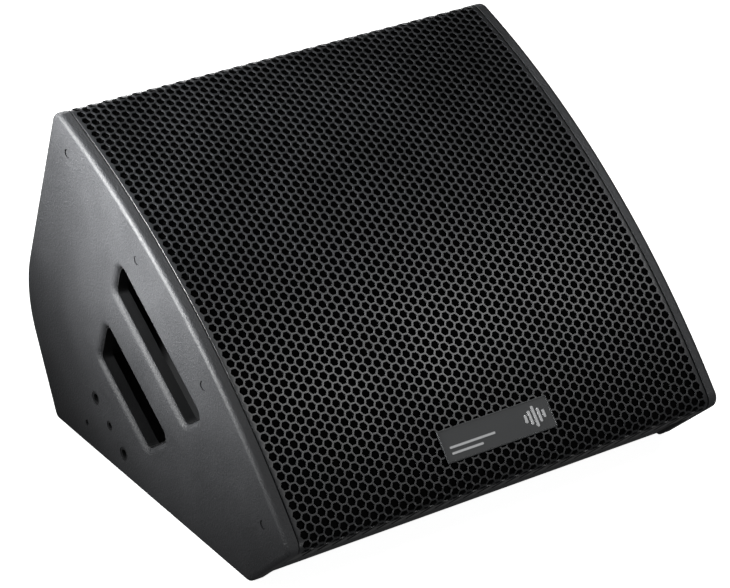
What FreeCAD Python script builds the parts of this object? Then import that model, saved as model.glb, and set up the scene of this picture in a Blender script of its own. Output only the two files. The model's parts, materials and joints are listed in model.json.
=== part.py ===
import FreeCAD, Part
import math
import os
import re
import Sketcher
from FreeCAD import Rotation, Vector

# Stage monitor wedge with a 12 inch coaxial driver.
#
# The cabinet is five plywood panels and a baffle between two side panels. A curved,
# perforated steel cover hides the baffle, and each side panel has a two-slot hand grip.
# X runs from the performer's left to right across the cabinet, the front looks along -Y
# and +Z is up. The origin is on the floor, at the middle of the width and of the depth.

doc = FreeCAD.newDocument("StageMonitorWedge")
sheet = doc.addObject("Spreadsheet::Sheet", "Dims")
aliases = []


def cell(alias, content):
    """One row of the sheet: the name in column A, and the number or formula in column B."""
    row = len(aliases) + 1
    sheet.set("A%d" % row, alias)
    sheet.set("B%d" % row, str(content))
    sheet.setAlias("B%d" % row, alias)
    aliases.append(alias)


# ---------------------------------------------------------------- driving dimensions

DRIVING = {
    # cabinet section, seen from the side, millimetres and degrees
    "overall_width": 500,
    "side_thickness": 15,
    "panel_thickness": 15,
    "foot_height": 4,
    "floor_length": 360,
    "bevel_length": 98,
    "bevel_angle": 43.5,
    "front_chord": 497.5,
    "front_angle": 34.5,
    "front_radius": 900,
    "lower_back_length": 135,
    "lower_back_angle": 64.8,
    # rounding of the side panels
    "knee_radius": 110,
    "top_radius": 14,
    "nose_radius": 12,
    "foot_corner_radius": 8,
    "rim_radius": 5,
    # how far the panels stand inside the outline of the side panels
    "back_inset": 10,
    "bevel_inset": 3,
    "corner_setback": 10,
    "rail_depth": 45,
    "batten_side": 24,
    # baffle and grille
    "baffle_offset": 4,
    "grille_gap": 1,
    "grille_thickness": 1.5,
    "grille_side_depth": 40,
    "grille_lip": 38,
    "grille_lip_overrun": 8,
    "rebate_depth": 3,
    "rebate_width": 42,
    "rebate_overrun": 60,
    "rebate_overrun_angle": 2,
    "foam_thickness": 6,
    "foam_gap": 0.3,
    "foam_half_angle": 14.2,
    "foam_side_gap": 6,
    # grille screws
    "grille_screw_depth": 28,
    "grille_screw_pitch": 9.13,
    "grille_screw_radius": 2.5,
    "grille_screw_length": 14,
    "grille_screw_head_radius": 4,
    "grille_screw_head_height": 2.2,
    "grille_screw_recess_radius": 4.6,
    "grille_screw_recess": 3,
    "grille_nut_radius": 4.5,
    "grille_nut_length": 4,
    "baffle_notch_radius": 6.5,
    # badge
    "badge_length": 126,
    "badge_height": 32,
    "badge_thickness": 1.8,
    "badge_angle": 13.1,
    "badge_gap": 0.05,
    # hand grip: two slots and the moulded cup behind them, in the plane of the front chord
    "upper_slot_top": 30,
    "upper_slot_bottom": 65,
    "upper_slot_front": 168.7,
    "upper_slot_rear": 331.5,
    "lower_slot_top": 110,
    "lower_slot_bottom": 155,
    "lower_slot_front": 191,
    "lower_slot_rear": 311.6,
    "slot_front_slant": 19,
    "slot_rear_slant": 16,
    "slot_corner_radius": 8,
    "slot_rim_radius": 7,
    "cup_bottom": 172,
    "cup_front": 172,
    "cup_rear": 332,
    "cup_depth": 50,
    "cup_wall": 3.5,
    "cup_gap": 0.5,
    # rigging points near the floor
    "insert_rear_y": 276,
    "insert_rear_z": 63,
    "insert_front_y": 224,
    "insert_bore_radius": 4.25,
    "insert_radius": 7,
    "insert_flange_radius": 11,
    "insert_flange_thickness": 2,
    "insert_recess": 0.5,
    "bush_bore_radius": 3,
    "bush_radius": 5,
    "pin_y": 295,
    "pin_hole_radius": 3,
    "bush_length": 13,
    # low-frequency driver, about its own axis; depths are from the face of the baffle
    "woofer_u": 262,
    "woofer_radius": 155,
    "woofer_overlap": 13.5,
    "gasket_thickness": 1.5,
    "gasket_margin": 0.5,
    "flange_thickness": 7,
    "flange_ledge": 4,
    "basket_depth": 84,
    "basket_floor": 4,
    "basket_rim": 12,
    "basket_gap": 1.5,
    "basket_taper": 5.5,
    "basket_waist_depth": 18,
    "basket_seat": 92,
    "basket_can": 86,
    "basket_wall": 4,
    "basket_bore": 44,
    "basket_windows": 6,
    "window_seat_margin": 6,
    "window_rim_margin": 9,
    "window_angle": 40,
    "spider_ledge_depth": 56,
    "woofer_screw_inset": 6,
    "woofer_screw_radius": 3,
    "screw_clearance": 0.25,
    "small_screw_clearance": 0.2,
    "woofer_screw_head_radius": 5,
    "woofer_screw_head_height": 4,
    "woofer_screw_length": 24,
    "woofer_screws": 8,
    "tee_nut_radius": 9,
    "tee_nut_barrel_radius": 4,
    "tee_nut_thickness": 1.5,
    "tee_nut_barrel_length": 10,
    "cone_rim_margin": 1,
    "cone_thickness": 1.2,
    "cone_lap": 2,
    "coil_radius": 37.9,
    "former_thickness": 0.5,
    "winding_thickness": 0.8,
    "winding_height": 14,
    "former_top": 46,
    "former_bottom": 98,
    "cone_rim_width": 5,
    "surround_seat": 10,
    "surround_seat_step": 1,
    "surround_width": 23,
    "surround_gap": 0.5,
    "surround_roll": 12.5,
    "surround_thickness": 0.9,
    "spider_ledge": 72,
    "spider_radius": 84,
    "spider_wave": 4,
    "spider_waves": 5,
    "spider_thickness": 0.6,
    "top_plate_radius": 80,
    "top_plate_thickness": 10,
    "magnet_radius": 85,
    "magnet_bore": 48,
    "magnet_thickness": 20,
    "back_plate_radius": 78,
    "back_plate_thickness": 10,
    "air_gap": 0.5,
    "throat_radius": 12.5,
    "horn_mouth_radius": 52,
    "horn_mouth_depth": 20,
    "horn_waist_radius": 31,
    "horn_waist_depth": 44,
    "horn_base_radius": 36,
    "horn_base_thickness": 3,
    "horn_wall": 2,
    # high-frequency driver on the back of the magnet
    "hf_radius": 46,
    "hf_depth": 36,
    "hf_wall": 4,
    "hf_cap_thickness": 4,
    "hf_dome_radius": 22,
    "hf_dome_rise": 6,
    "hf_dome_thickness": 0.4,
    "hf_plug_height": 12,
    "hf_plug_radius": 24.5,
    "hf_magnet_bore": 25,
    "hf_magnet_radius": 38,
    "hf_magnet_thickness": 15,
    "hf_ring_bore": 26,
    "hf_ring_thickness": 1.6,
    "hf_surround_radius": 30,
    # ports
    "port_u": 88,
    "port_x": 175,
    "port_bore": 36,
    "port_wall": 3,
    "port_flange_radius": 46,
    "port_flange_thickness": 3,
    "port_length": 63,
    "port_fit": 0.3,
    # crossover
    "board_width": 120,
    "board_depth": 84,
    "board_thickness": 1.6,
    "board_gap": 3,
    "board_lift": 8,
    "board_hole_inset": 5,
    "spacer_radius": 4,
    "board_screw_radius": 1.75,
    "board_screw_head": 3.2,
    "board_screw_head_height": 2,
    "board_screw_depth": 10,
    "coil_bore": 9,
    "large_coil_radius": 20,
    "large_coil_height": 18,
    "small_coil_radius": 14,
    "small_coil_height": 14,
    "capacitor_radius": 8,
    "capacitor_length": 32,
    "large_coil_x": 32,
    "small_coil_x": 8,
    "capacitor_x": 34,
    "capacitor_gap": 0.5,
    "resistor_length": 40,
    "resistor_side": 9,
    # connector plate on the upper back panel
    "plate_width": 160,
    "plate_height": 90,
    "plate_thickness": 2,
    "plate_gasket": 1,
    "plate_corner": 6,
    "plate_from_knee": 105,
    "plate_opening_width": 124,
    "plate_opening_height": 56,
    "plate_screw_inset": 8,
    "plate_screw_radius": 1.9,
    "plate_screw_head_radius": 3.8,
    "plate_screw_head_height": 2,
    "plate_screw_length": 15,
    "socket_x": 34,
    "socket_flange_width": 26,
    "socket_flange_height": 31,
    "socket_flange_thickness": 2.5,
    "socket_radius": 11.8,
    "socket_bore": 10.2,
    "socket_bore_depth": 20,
    "socket_depth": 27,
    "socket_gap": 0.2,
    "socket_screw_x": 9.5,
    "socket_screw_y": 12,
    "socket_screw_radius": 1.45,
    "socket_screw_clearance": 0.15,
    "socket_screw_head_radius": 2.7,
    "socket_screw_head_height": 1.4,
    "socket_screw_length": 6,
    # feet
    "foot_radius": 16,
    "foot_edge_radius": 1.2,
    "foot_inset_x": 50,
    "foot_inset_y": 36,
    "foot_screw_radius": 2.3,
    "foot_screw_head_radius": 4.4,
    "foot_screw_head_height": 1.6,
    "foot_screw_recess": 2,
    "foot_screw_head_gap": 0.4,
    "foot_screw_length": 13,
    # damping
    "wadding_thickness": 20,
    "wadding_width": 300,
    "wadding_gap": 4,
    "back_wadding_margin": 28,
}
for name, value in DRIVING.items():
    cell(name, value)

# ---------------------------------------------------------------- worked-out values


def cosine(angle):
    return "cos((%s) * 1deg)" % angle


def sine(angle):
    return "sin((%s) * 1deg)" % angle


def tangent(angle):
    return "tan((%s) * 1deg)" % angle


def line(name, normal_y, normal_z, point_y, point_z):
    """A straight edge of the section, by its inward normal and one point on it."""
    cell(name + "_ny", "=" + normal_y)
    cell(name + "_nz", "=" + normal_z)
    cell(name + "_reach", "={0}_ny * ({1}) + {0}_nz * ({2})".format(name, point_y, point_z))


def meet(name, first, first_inset, second, second_inset):
    """The point where two edges cross, each moved inwards by its inset."""
    a = "(%s_reach + %s)" % (first, first_inset)
    b = "(%s_reach + %s)" % (second, second_inset)
    across = "({0}_ny * {1}_nz - {0}_nz * {1}_ny)".format(first, second)
    cell(name + "_y", "=({a} * {s}_nz - {b} * {f}_nz) / {d}".format(
        a=a, b=b, f=first, s=second, d=across))
    cell(name + "_z", "=({f}_ny * {b} - {s}_ny * {a}) / {d}".format(
        a=a, b=b, f=first, s=second, d=across))


def on_front(name, along, depth):
    """A point given along the front chord from the nose and behind that chord."""
    cell(name + "_y", "=nose_y + ({0}) * {2} + ({1}) * {3}".format(
        along, depth, cosine("front_angle"), sine("front_angle")))
    cell(name + "_z", "=nose_z + ({0}) * {3} - ({1}) * {2}".format(
        along, depth, cosine("front_angle"), sine("front_angle")))


# The section starts at the front edge of the floor panel: y = 0, z = 0.
cell("half_width", "=overall_width / 2")
cell("half_inner", "=half_width - side_thickness")
cell("nose_y", "=-bevel_length * " + cosine("bevel_angle"))
cell("nose_z", "=bevel_length * " + sine("bevel_angle"))
cell("top_y", "=nose_y + front_chord * " + cosine("front_angle"))
cell("top_z", "=nose_z + front_chord * " + sine("front_angle"))
cell("knee_y", "=floor_length + lower_back_length * " + cosine("lower_back_angle"))
cell("knee_z", "=lower_back_length * " + sine("lower_back_angle"))
cell("back_lean", "=atan((knee_y - top_y) / (top_z - knee_z)) / 1deg")
cell("arc_half_angle", "=asin(front_chord / 2 / front_radius) / 1deg")
cell("arc_drop", "=sqrt(front_radius ^ 2 - (front_chord / 2) ^ 2)")
on_front("arc", "front_chord / 2", "arc_drop")

line("floor", "0", "1", "0", "0")
line("lower_back", "-" + sine("lower_back_angle"), cosine("lower_back_angle"), "floor_length", "0")
line("upper_back", "-" + cosine("back_lean"), "-" + sine("back_lean"), "top_y", "top_z")
line("chord", sine("front_angle"), "-" + cosine("front_angle"), "nose_y", "nose_z")
line("bevel", sine("bevel_angle"), cosine("bevel_angle"), "0", "0")
line("nose_edge", sine("front_angle + arc_half_angle"),
     "-" + cosine("front_angle + arc_half_angle"), "nose_y", "nose_z")
line("top_edge", sine("front_angle - arc_half_angle"),
     "-" + cosine("front_angle - arc_half_angle"), "top_y", "top_z")

# The rounded nose and knee are the foremost and rearmost points of the cabinet.
meet("nose_centre", "bevel", "nose_radius", "nose_edge", "nose_radius")
meet("knee_centre", "lower_back", "knee_radius", "upper_back", "knee_radius")
cell("overall_depth", "=knee_centre_y + knee_radius - nose_centre_y + nose_radius")
cell("floor_front_y", "=-overall_depth / 2 - nose_centre_y + nose_radius")

cell("bevel_inner", "=bevel_inset + panel_thickness")
cell("back_inner", "=back_inset + panel_thickness")
cell("baffle_back", "=baffle_offset + panel_thickness")
meet("front_foot_outer", "floor", "0", "bevel", "bevel_inset")
meet("front_foot_inner", "floor", "panel_thickness", "bevel", "bevel_inner")
meet("rear_foot_outer", "floor", "0", "lower_back", "back_inset")
meet("rear_foot_inner", "floor", "panel_thickness", "lower_back", "back_inner")
meet("knee_outer", "lower_back", "back_inset", "upper_back", "back_inset")
meet("knee_inner", "lower_back", "back_inner", "upper_back", "back_inner")
meet("bevel_end_outer", "bevel", "bevel_inset", "chord", "corner_setback")
meet("bevel_end_inner", "bevel", "bevel_inner", "chord", "corner_setback")
meet("back_end_outer", "upper_back", "back_inset", "chord", "rail_depth")
meet("back_end_inner", "upper_back", "back_inner", "chord", "rail_depth")
meet("rail_front_outer", "upper_back", "bevel_inset", "chord", "corner_setback")
meet("rail_front_inner", "upper_back", "back_inner", "chord", "corner_setback")
meet("rail_rear_outer", "upper_back", "bevel_inset", "chord", "rail_depth")
meet("baffle_low_front", "bevel", "bevel_inner", "chord", "baffle_offset")
meet("baffle_low_back", "bevel", "bevel_inner", "chord", "baffle_back")
meet("baffle_high_front", "upper_back", "back_inner", "chord", "baffle_offset")
meet("baffle_high_back", "upper_back", "back_inner", "chord", "baffle_back")
meet("front_batten_floor", "floor", "panel_thickness", "bevel", "(bevel_inner + batten_side)")
meet("front_batten_wall", "floor", "(panel_thickness + batten_side)", "bevel", "bevel_inner")
meet("rear_batten_floor", "floor", "panel_thickness", "lower_back", "(back_inner + batten_side)")
meet("rear_batten_wall", "floor", "(panel_thickness + batten_side)", "lower_back", "back_inner")
meet("knee_batten_low", "lower_back", "back_inner", "upper_back", "(back_inner + batten_side)")
meet("knee_batten_high", "lower_back", "(back_inner + batten_side)", "upper_back", "back_inner")

cell("board_front_y", "=front_batten_floor_y + board_gap")
cell("wadding_front_y", "=board_front_y + board_depth + wadding_gap")
cell("wadding_rear_y", "=rear_batten_floor_y - wadding_gap")

# The grille is a folded sheet: its front arc, a lip over the bevel and one over the back.
meet("nose_inner", "bevel", "grille_thickness", "nose_edge", "grille_thickness")
meet("crest_inner", "upper_back", "grille_thickness", "top_edge", "grille_thickness")
meet("nose_lip", "bevel", "0", "chord", "grille_lip")
meet("crest_lip", "upper_back", "0", "chord", "grille_lip")
meet("nose_lip_inner", "bevel", "grille_thickness", "chord", "(grille_lip + grille_lip_overrun)")
meet("crest_lip_inner", "upper_back", "grille_thickness", "chord", "(grille_lip + grille_lip_overrun)")
cell("grille_half_width", "=half_inner + rebate_depth - grille_gap")
cell("grille_half_inner", "=grille_half_width - grille_thickness")
cell("foam_outer", "=front_radius - grille_thickness - foam_gap")
cell("foam_inner", "=foam_outer - foam_thickness")
cell("rebate_inner", "=front_radius - rebate_width")
cell("rebate_outer", "=front_radius + rebate_overrun")
cell("rebate_half_angle", "=arc_half_angle + rebate_overrun_angle")

# The four grille screws of a side are evenly spaced along the front arc.
SCREW_NAMES = ("screw1", "screw2", "screw3", "screw4")
for step, name in enumerate(SCREW_NAMES):
    turn = "front_angle + (%s) * grille_screw_pitch" % (step - 1.5)
    cell(name + "_y", "=arc_y - (front_radius - grille_screw_depth) * " + sine(turn))
    cell(name + "_z", "=arc_z + (front_radius - grille_screw_depth) * " + cosine(turn))

# The front inserts and the pin hole stand on the floor panel.
cell("insert_front_z", "=panel_thickness + insert_flange_radius")
cell("pin_z", "=insert_front_z")

# The cup clears the back of the baffle.
cell("cup_top", "=baffle_back + cup_wall + cup_gap")

# The slots of the hand grip run along the front chord and narrow towards the floor.
for slot in ("upper", "lower"):
    half = "({0}_slot_bottom - {0}_slot_top) / 2".format(slot)
    for end, slant, sign in (("front", "slot_front_slant", 1), ("rear", "slot_rear_slant", -1)):
        shift = "%s * %s" % (half, tangent(slant))
        on_front("%s_%s_high" % (slot, end),
                 "%s_slot_%s - (%d) * %s" % (slot, end, sign, shift), slot + "_slot_top")
        on_front("%s_%s_low" % (slot, end),
                 "%s_slot_%s + (%d) * %s" % (slot, end, sign, shift), slot + "_slot_bottom")
for wall, extra in (("cup", "0"), ("cup_outer", "cup_wall")):
    half = "((cup_bottom - cup_top) / 2 + %s)" % extra
    for end, slant, sign in (("front", "slot_front_slant", 1), ("rear", "slot_rear_slant", -1)):
        edge = "cup_%s - (%d) * %s / %s" % (end, sign, extra, cosine(slant))
        shift = "(%d) * %s * %s" % (sign, half, tangent(slant))
        on_front("%s_%s_high" % (wall, end), "%s - %s" % (edge, shift), "(cup_top - %s)" % extra)
        on_front("%s_%s_low" % (wall, end), "%s + %s" % (edge, shift), "(cup_bottom + %s)" % extra)

# Driver, from the front of the gasket down to the high-frequency cap.
on_front("woofer", "woofer_u", "baffle_offset")
on_front("port", "port_u", "baffle_offset")
cell("woofer_cutout", "=woofer_radius - woofer_overlap")
cell("woofer_screw_circle", "=woofer_radius - woofer_screw_inset")
cell("basket_ring", "=woofer_radius - basket_rim")
cell("basket_waist", "=woofer_cutout - basket_taper")
cell("window_inner", "=basket_seat + window_seat_margin")
cell("window_outer", "=basket_waist - window_rim_margin")
cell("surround_outer", "=basket_ring - surround_seat")
cell("surround_inner", "=surround_outer - surround_width")
cell("cone_rim_radius", "=surround_inner - cone_rim_margin")
cell("flange_top", "=gasket_thickness + flange_thickness")
cell("ledge_top", "=gasket_thickness + flange_ledge")
cell("top_plate_low", "=basket_depth + top_plate_thickness")
cell("magnet_low", "=top_plate_low + magnet_thickness")
cell("back_plate_low", "=magnet_low + back_plate_thickness")
cell("hf_low", "=back_plate_low + hf_depth")
cell("former_radius", "=coil_radius + former_thickness")
cell("winding_radius", "=former_radius + winding_thickness")

cell("back_wadding_low", "=panel_thickness + back_wadding_margin")
cell("back_wadding_high", "=back_inner + back_wadding_margin")
cell("back_pad_face", "=back_inner + wadding_thickness")
cell("hf_floor", "=back_plate_low + hf_wall")
cell("hf_magnet_low", "=hf_floor + hf_magnet_thickness")
cell("hf_ring_low", "=hf_magnet_low + hf_ring_thickness")
cell("pole_radius", "=coil_radius - air_gap")
meet("back_pad_low_outer", "lower_back", "back_inner", "floor", "back_wadding_low")
meet("back_pad_low_inner", "lower_back", "back_pad_face", "floor", "back_wadding_low")
meet("back_pad_high_outer", "lower_back", "back_inner", "upper_back", "back_wadding_high")
meet("back_pad_high_inner", "lower_back", "back_pad_face", "upper_back", "back_wadding_high")

cell("board_z", "=panel_thickness + board_lift")
cell("board_top", "=board_z + board_thickness")
cell("plate_y", "=knee_outer_y - plate_from_knee * " + sine("back_lean"))
cell("plate_z", "=knee_outer_z + plate_from_knee * " + cosine("back_lean"))
doc.recompute()

# ---------------------------------------------------------------- how the parts are made

ALIAS = re.compile(r"[A-Za-z_][A-Za-z_0-9]*")

# Two places nearer than this, in millimetres, are the same place.
NEAR = 0.05
# A cut that takes away less than this, in cubic millimetres, has missed the part.
SMALLEST_CUT = 1


def bind(expression):
    """The expression with every name of the sheet written as a reference to the sheet."""
    return ALIAS.sub(lambda m: "Dims." + m.group(0) if m.group(0) in aliases else m.group(0),
                     str(expression))


def number(expression):
    return float(sheet.evalExpression(bind(expression)))


# Each frame is a place in the section (y, z) and a turn about X.
FRAMES = {
    "cabinet": ("0", "0", "0"),
    "board": ("board_front_y + board_depth / 2", "board_top", "0"),
    "front": ("nose_y", "nose_z", "front_angle"),
    "woofer": ("woofer_y", "woofer_z", "front_angle"),
    "port": ("port_y", "port_z", "front_angle"),
    "arc": ("arc_y", "arc_z", "front_angle"),
    "badge": ("arc_y", "arc_z", "front_angle + badge_angle"),
    "plate": ("plate_y", "plate_z", "back_lean - 90"),
}


def place(item, frame, x="0"):
    y, z, turn = FRAMES[frame]
    item.Placement = FreeCAD.Placement(Vector(0, 0, 0), Rotation(Vector(1, 0, 0), 1))
    item.setExpression("Placement.Base.x", bind(x))
    item.setExpression("Placement.Base.y", bind("floor_front_y + " + y))
    item.setExpression("Placement.Base.z", bind("foot_height + " + z))
    item.setExpression("Placement.Rotation.Angle", "(%s) * 1deg" % bind(turn))


def new_body(label, frame, x="0"):
    item = doc.addObject("PartDesign::Body", "Body_" + label)
    item.Label = label
    place(item, frame, x)
    return item


def origin_feature(item, role):
    return [o for o in item.Origin.OriginFeatures if o.Role == role][0]


def hold(sketch, kind, where, expression):
    """A dimension of the sketch, bound to the sheet."""
    index = sketch.addConstraint(Sketcher.Constraint(kind, *where, number(expression)))
    sketch.setExpression("Constraints[%d]" % index, bind(expression))


def draw(item, plane, outlines, start="0"):
    """A sketch on an origin plane. Each outline is a circle (x, y, radius) or a list of corners.

    A corner is (x, y), or (x, y, radius) when an arc runs from it to the next corner. A
    positive radius turns anticlockwise.
    """
    sketch = item.newObject("Sketcher::SketchObject", "Sketch_" + item.Label)
    sketch.AttachmentSupport = [(origin_feature(item, plane), "")]
    sketch.MapMode = "FlatFace"
    if start != "0":
        sketch.setExpression("AttachmentOffset.Base.z", bind(start))
    for outline in outlines:
        if isinstance(outline, tuple):
            draw_circle(sketch, *outline)
        else:
            draw_outline(sketch, outline)
    return sketch


def draw_circle(sketch, x, y, radius):
    centre = Vector(number(x), number(y), 0)
    edge = sketch.addGeometry(Part.Circle(centre, Vector(0, 0, 1), number(radius)), False)
    hold(sketch, "DistanceX", (-1, 1, edge, 3), x)
    hold(sketch, "DistanceY", (-1, 1, edge, 3), y)
    hold(sketch, "Radius", (edge,), radius)


def arc_between(start, end, radius):
    """The minor arc from start to end; returns it and which of its ends is the start."""
    middle = (start + end) * 0.5
    half = (end - start).Length / 2
    side = Vector(-(end - start).y, (end - start).x, 0).normalize()
    centre = middle + side * (abs(radius) ** 2 - half ** 2) ** 0.5 * (1 if radius > 0 else -1)
    curve = Part.ArcOfCircle(Part.Circle(centre, Vector(0, 0, 1), abs(radius)),
                             *sorted_angles(centre, start, end, radius > 0))
    return curve, 1 if radius > 0 else 2


def sorted_angles(centre, start, end, anticlockwise):
    first = Vector(1, 0, 0).getAngle(start - centre) * (1 if start.y >= centre.y else -1)
    last = Vector(1, 0, 0).getAngle(end - centre) * (1 if end.y >= centre.y else -1)
    if not anticlockwise:
        first, last = last, first
    return first, last if last > first else last + 2 * math.pi


def draw_outline(sketch, corners):
    points = [Vector(number(c[0]), number(c[1]), 0) for c in corners]
    ends = []
    for i, corner in enumerate(corners):
        start, end = points[i], points[(i + 1) % len(points)]
        if len(corner) == 2:
            edge = sketch.addGeometry(Part.LineSegment(start, end), False)
            ends.append((edge, 1, 2))
        else:
            curve, first = arc_between(start, end, number(corner[2]))
            edge = sketch.addGeometry(curve, False)
            ends.append((edge, first, 3 - first))
    for i, (edge, first, last) in enumerate(ends):
        after, after_first, _ = ends[(i + 1) % len(ends)]
        sketch.addConstraint(Sketcher.Constraint("Coincident", edge, last, after, after_first))
        hold(sketch, "DistanceX", (-1, 1, edge, first), corners[i][0])
        hold(sketch, "DistanceY", (-1, 1, edge, first), corners[i][1])
        if len(corners[i]) == 3:
            hold(sketch, "Radius", (edge,), str(corners[i][2]).lstrip("-"))


def pad(item, plane, outlines, length, towards=1, start="0"):
    """Adds material; towards is 1 or -1 along the plane's normal, or 0 for both sides."""
    feature = item.newObject("PartDesign::Pad", "Pad_" + item.Label)
    feature.Profile = draw(item, plane, outlines, start)
    feature.setExpression("Length", bind(length))
    if towards == 0:
        feature.SideType = "Symmetric"
    feature.Reversed = towards < 0
    doc.recompute()
    return item


def cut(item, plane, outlines, length=None, towards=-1, start="0"):
    """Takes material away, through everything both ways when no length is given."""
    before = item.Tip.Shape.Volume
    feature = item.newObject("PartDesign::Pocket", "Pocket_" + item.Label)
    feature.Profile = draw(item, plane, outlines, start)
    if length is None:
        feature.SideType = "Symmetric"
        feature.Type = "ThroughAll"
    else:
        feature.setExpression("Length", bind(length))
        if towards == 0:
            feature.SideType = "Symmetric"
        feature.Reversed = towards > 0
    doc.recompute()
    if item.Tip.Shape.Volume > before - SMALLEST_CUT:
        raise RuntimeError("a cut in %s takes nothing away" % item.Label)
    return item


def turned(label, frame, profile, x="0"):
    """A part turned about its frame's Z axis; the profile is (radius, height) corners."""
    item = new_body(label, frame, x)
    sketch = draw(item, "XZ_Plane", [profile])
    feature = item.newObject("PartDesign::Revolution", "Turn_" + label)
    feature.Profile = sketch
    feature.ReferenceAxis = (sketch, ["V_Axis"])
    feature.Angle = 360
    doc.recompute()
    return item


def ring(label, frame, inner, outer, low, high, x="0"):
    corners = [(inner, low), (outer, low), (outer, high), (inner, high)]
    return turned(label, frame, corners, x)


def prism(label, outlines, length, frame="cabinet", plane="YZ_Plane", towards=0, x="0", start="0"):
    return pad(new_body(label, frame, x), plane, outlines, length, towards, start)


def round_edges(item, chosen, radius):
    """Rounds the edges of the part so far for which chosen(edge) is true."""
    edges = item.Tip.Shape.Edges
    names = ["Edge%d" % (i + 1) for i, edge in enumerate(edges) if chosen(edge)]
    if not names:
        raise RuntimeError("no edge to round on " + item.Label)
    base = item.Tip
    feature = item.newObject("PartDesign::Fillet", "Fillet_" + item.Label)
    feature.Base = (base, names)
    feature.setExpression("Radius", bind(radius))
    doc.recompute()


def pattern(item, feature, count):
    """Repeats one feature round the part's Z axis."""
    repeat = item.newObject("PartDesign::PolarPattern", "Pattern_" + item.Label)
    repeat.Originals = [feature]
    repeat.Axis = (origin_feature(item, "Z_Axis"), [""])
    repeat.Angle = 360
    repeat.Occurrences = int(number(count))
    item.Tip = repeat
    doc.recompute()


def crossing(y_name, z_name=None):
    """Chooses the edges along X that pass through a named point of the section."""
    z_name = z_name or y_name
    y, z = number(y_name + "_y"), number(z_name + "_z")

    def chosen(edge):
        ends = [v.Point for v in edge.Vertexes]
        return len(ends) == 2 and all(abs(p.y - y) + abs(p.z - z) < NEAR for p in ends) \
            and abs(ends[0].x - ends[1].x) > NEAR
    return chosen


def corner(name):
    return name + "_y", name + "_z"


# ---------------------------------------------------------------- cabinet

SIDES = (("left", -1), ("right", 1))


def side_panel(name, hand):
    """A plywood side with its hand grip slots, grille rebate, screw holes and rigging holes."""
    inner = "%d * half_inner" % hand
    item = prism("side_panel_" + name,
                 [[("0", "0"), ("floor_length", "0"), corner("knee"),
                   corner("top") + ("front_radius",), corner("nose")]],
                 "side_thickness", towards=hand, x=inner)
    outer_x = hand * number("side_thickness")
    for point, radius in (("knee", "knee_radius"), ("top", "top_radius"),
                          ("nose", "nose_radius")):
        round_edges(item, crossing(point), radius)
    for y in (0, number("floor_length")):
        round_edges(item, lambda e: e.BoundBox.XLength > NEAR and e.BoundBox.YLength < NEAR
                    and abs(e.BoundBox.YMin - y) < NEAR and abs(e.BoundBox.ZMax) < NEAR,
                    "foot_corner_radius")
    round_edges(item, lambda e: e.BoundBox.XLength < NEAR
                and abs(e.BoundBox.XMin - outer_x) < NEAR, "rim_radius")
    for slot in ("upper", "lower"):
        names = [slot + end for end in ("_front_high", "_rear_high", "_rear_low", "_front_low")]
        cut(item, "YZ_Plane", [[corner(n) for n in names]])
        for n in names:
            round_edges(item, crossing(n), "slot_corner_radius")
        mouth = FreeCAD.BoundBox()
        for n in names:
            mouth.add(Vector(outer_x, number(n + "_y"), number(n + "_z")))
        mouth.enlarge(NEAR)
        round_edges(item, lambda e: e.BoundBox.XLength < NEAR and mouth.isInside(e.BoundBox),
                    "slot_rim_radius")
    cut(item, "YZ_Plane", [rebate_outline()], "rebate_depth", towards=hand)
    cut(item, "YZ_Plane", [corner(n) + ("grille_screw_radius + screw_clearance",) for n in SCREW_NAMES])
    cut(item, "YZ_Plane", [corner(n) + ("grille_screw_recess_radius",) for n in SCREW_NAMES],
        "side_thickness", towards=hand, start="%d * (side_thickness - grille_screw_recess)" % hand)
    cut(item, "YZ_Plane", [("insert_rear_y", "insert_rear_z", "insert_radius"),
                           ("insert_front_y", "insert_front_z", "insert_radius"),
                           BUSH + ("bush_radius",), ("pin_y", "pin_z", "pin_hole_radius")])


def rebate_outline():
    """The band along the front edge that holds the turned-in side of the grille."""
    corners = []
    for radius, sign in (("rebate_inner", 1), ("rebate_inner", -1),
                         ("rebate_outer", -1), ("rebate_outer", 1)):
        turn = "front_angle + (%d) * rebate_half_angle" % sign
        corners.append(("arc_y - %s * %s" % (radius, sine(turn)),
                        "arc_z + %s * %s" % (radius, cosine(turn))))
    corners[0] = corners[0] + ("-rebate_inner",)
    return corners


BUSH = ("(insert_rear_y + insert_front_y) / 2", "(insert_rear_z + insert_front_z) / 2")


def both_sides(item, circles, length, inside, outwards=True):
    """Round bosses on the left and on the right, from inside (a distance from the middle)."""
    for _, hand in SIDES:
        pad(item, "YZ_Plane", circles, length, towards=hand if outwards else -hand,
            start="(%d) * (%s)" % (hand, inside))


def rigging():
    """Threaded inserts low in each side, with a locating bush between each pair of them."""
    spots = (("insert_rear_y", "insert_rear_z"), ("insert_front_y", "insert_front_z"))
    inserts = new_body("rigging_inserts", "cabinet")
    both_sides(inserts, [s + ("insert_radius",) for s in spots],
               "side_thickness - insert_recess", "half_inner")
    both_sides(inserts, [s + ("insert_flange_radius",) for s in spots],
               "insert_flange_thickness", "half_inner", outwards=False)
    cut(inserts, "YZ_Plane", [s + ("insert_bore_radius",) for s in spots])
    bushes = new_body("locating_bushes", "cabinet")
    both_sides(bushes, [BUSH + ("bush_radius",)], "bush_length",
               "half_width - bush_length - insert_recess")
    cut(bushes, "YZ_Plane", [BUSH + ("bush_bore_radius",)])


def handle_cup(name, hand):
    """The closed cup behind the two slots, glued to the inside of the side panel."""
    ends = ("_front_high", "_rear_high", "_rear_low", "_front_low")
    item = prism("handle_cup_" + name, [[corner("cup_outer" + e) for e in ends]],
                 "cup_depth + cup_wall", towards=-hand, x="%d * half_inner" % hand)
    cut(item, "YZ_Plane", [[corner("cup" + e) for e in ends]], "cup_depth", towards=-hand)


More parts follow.
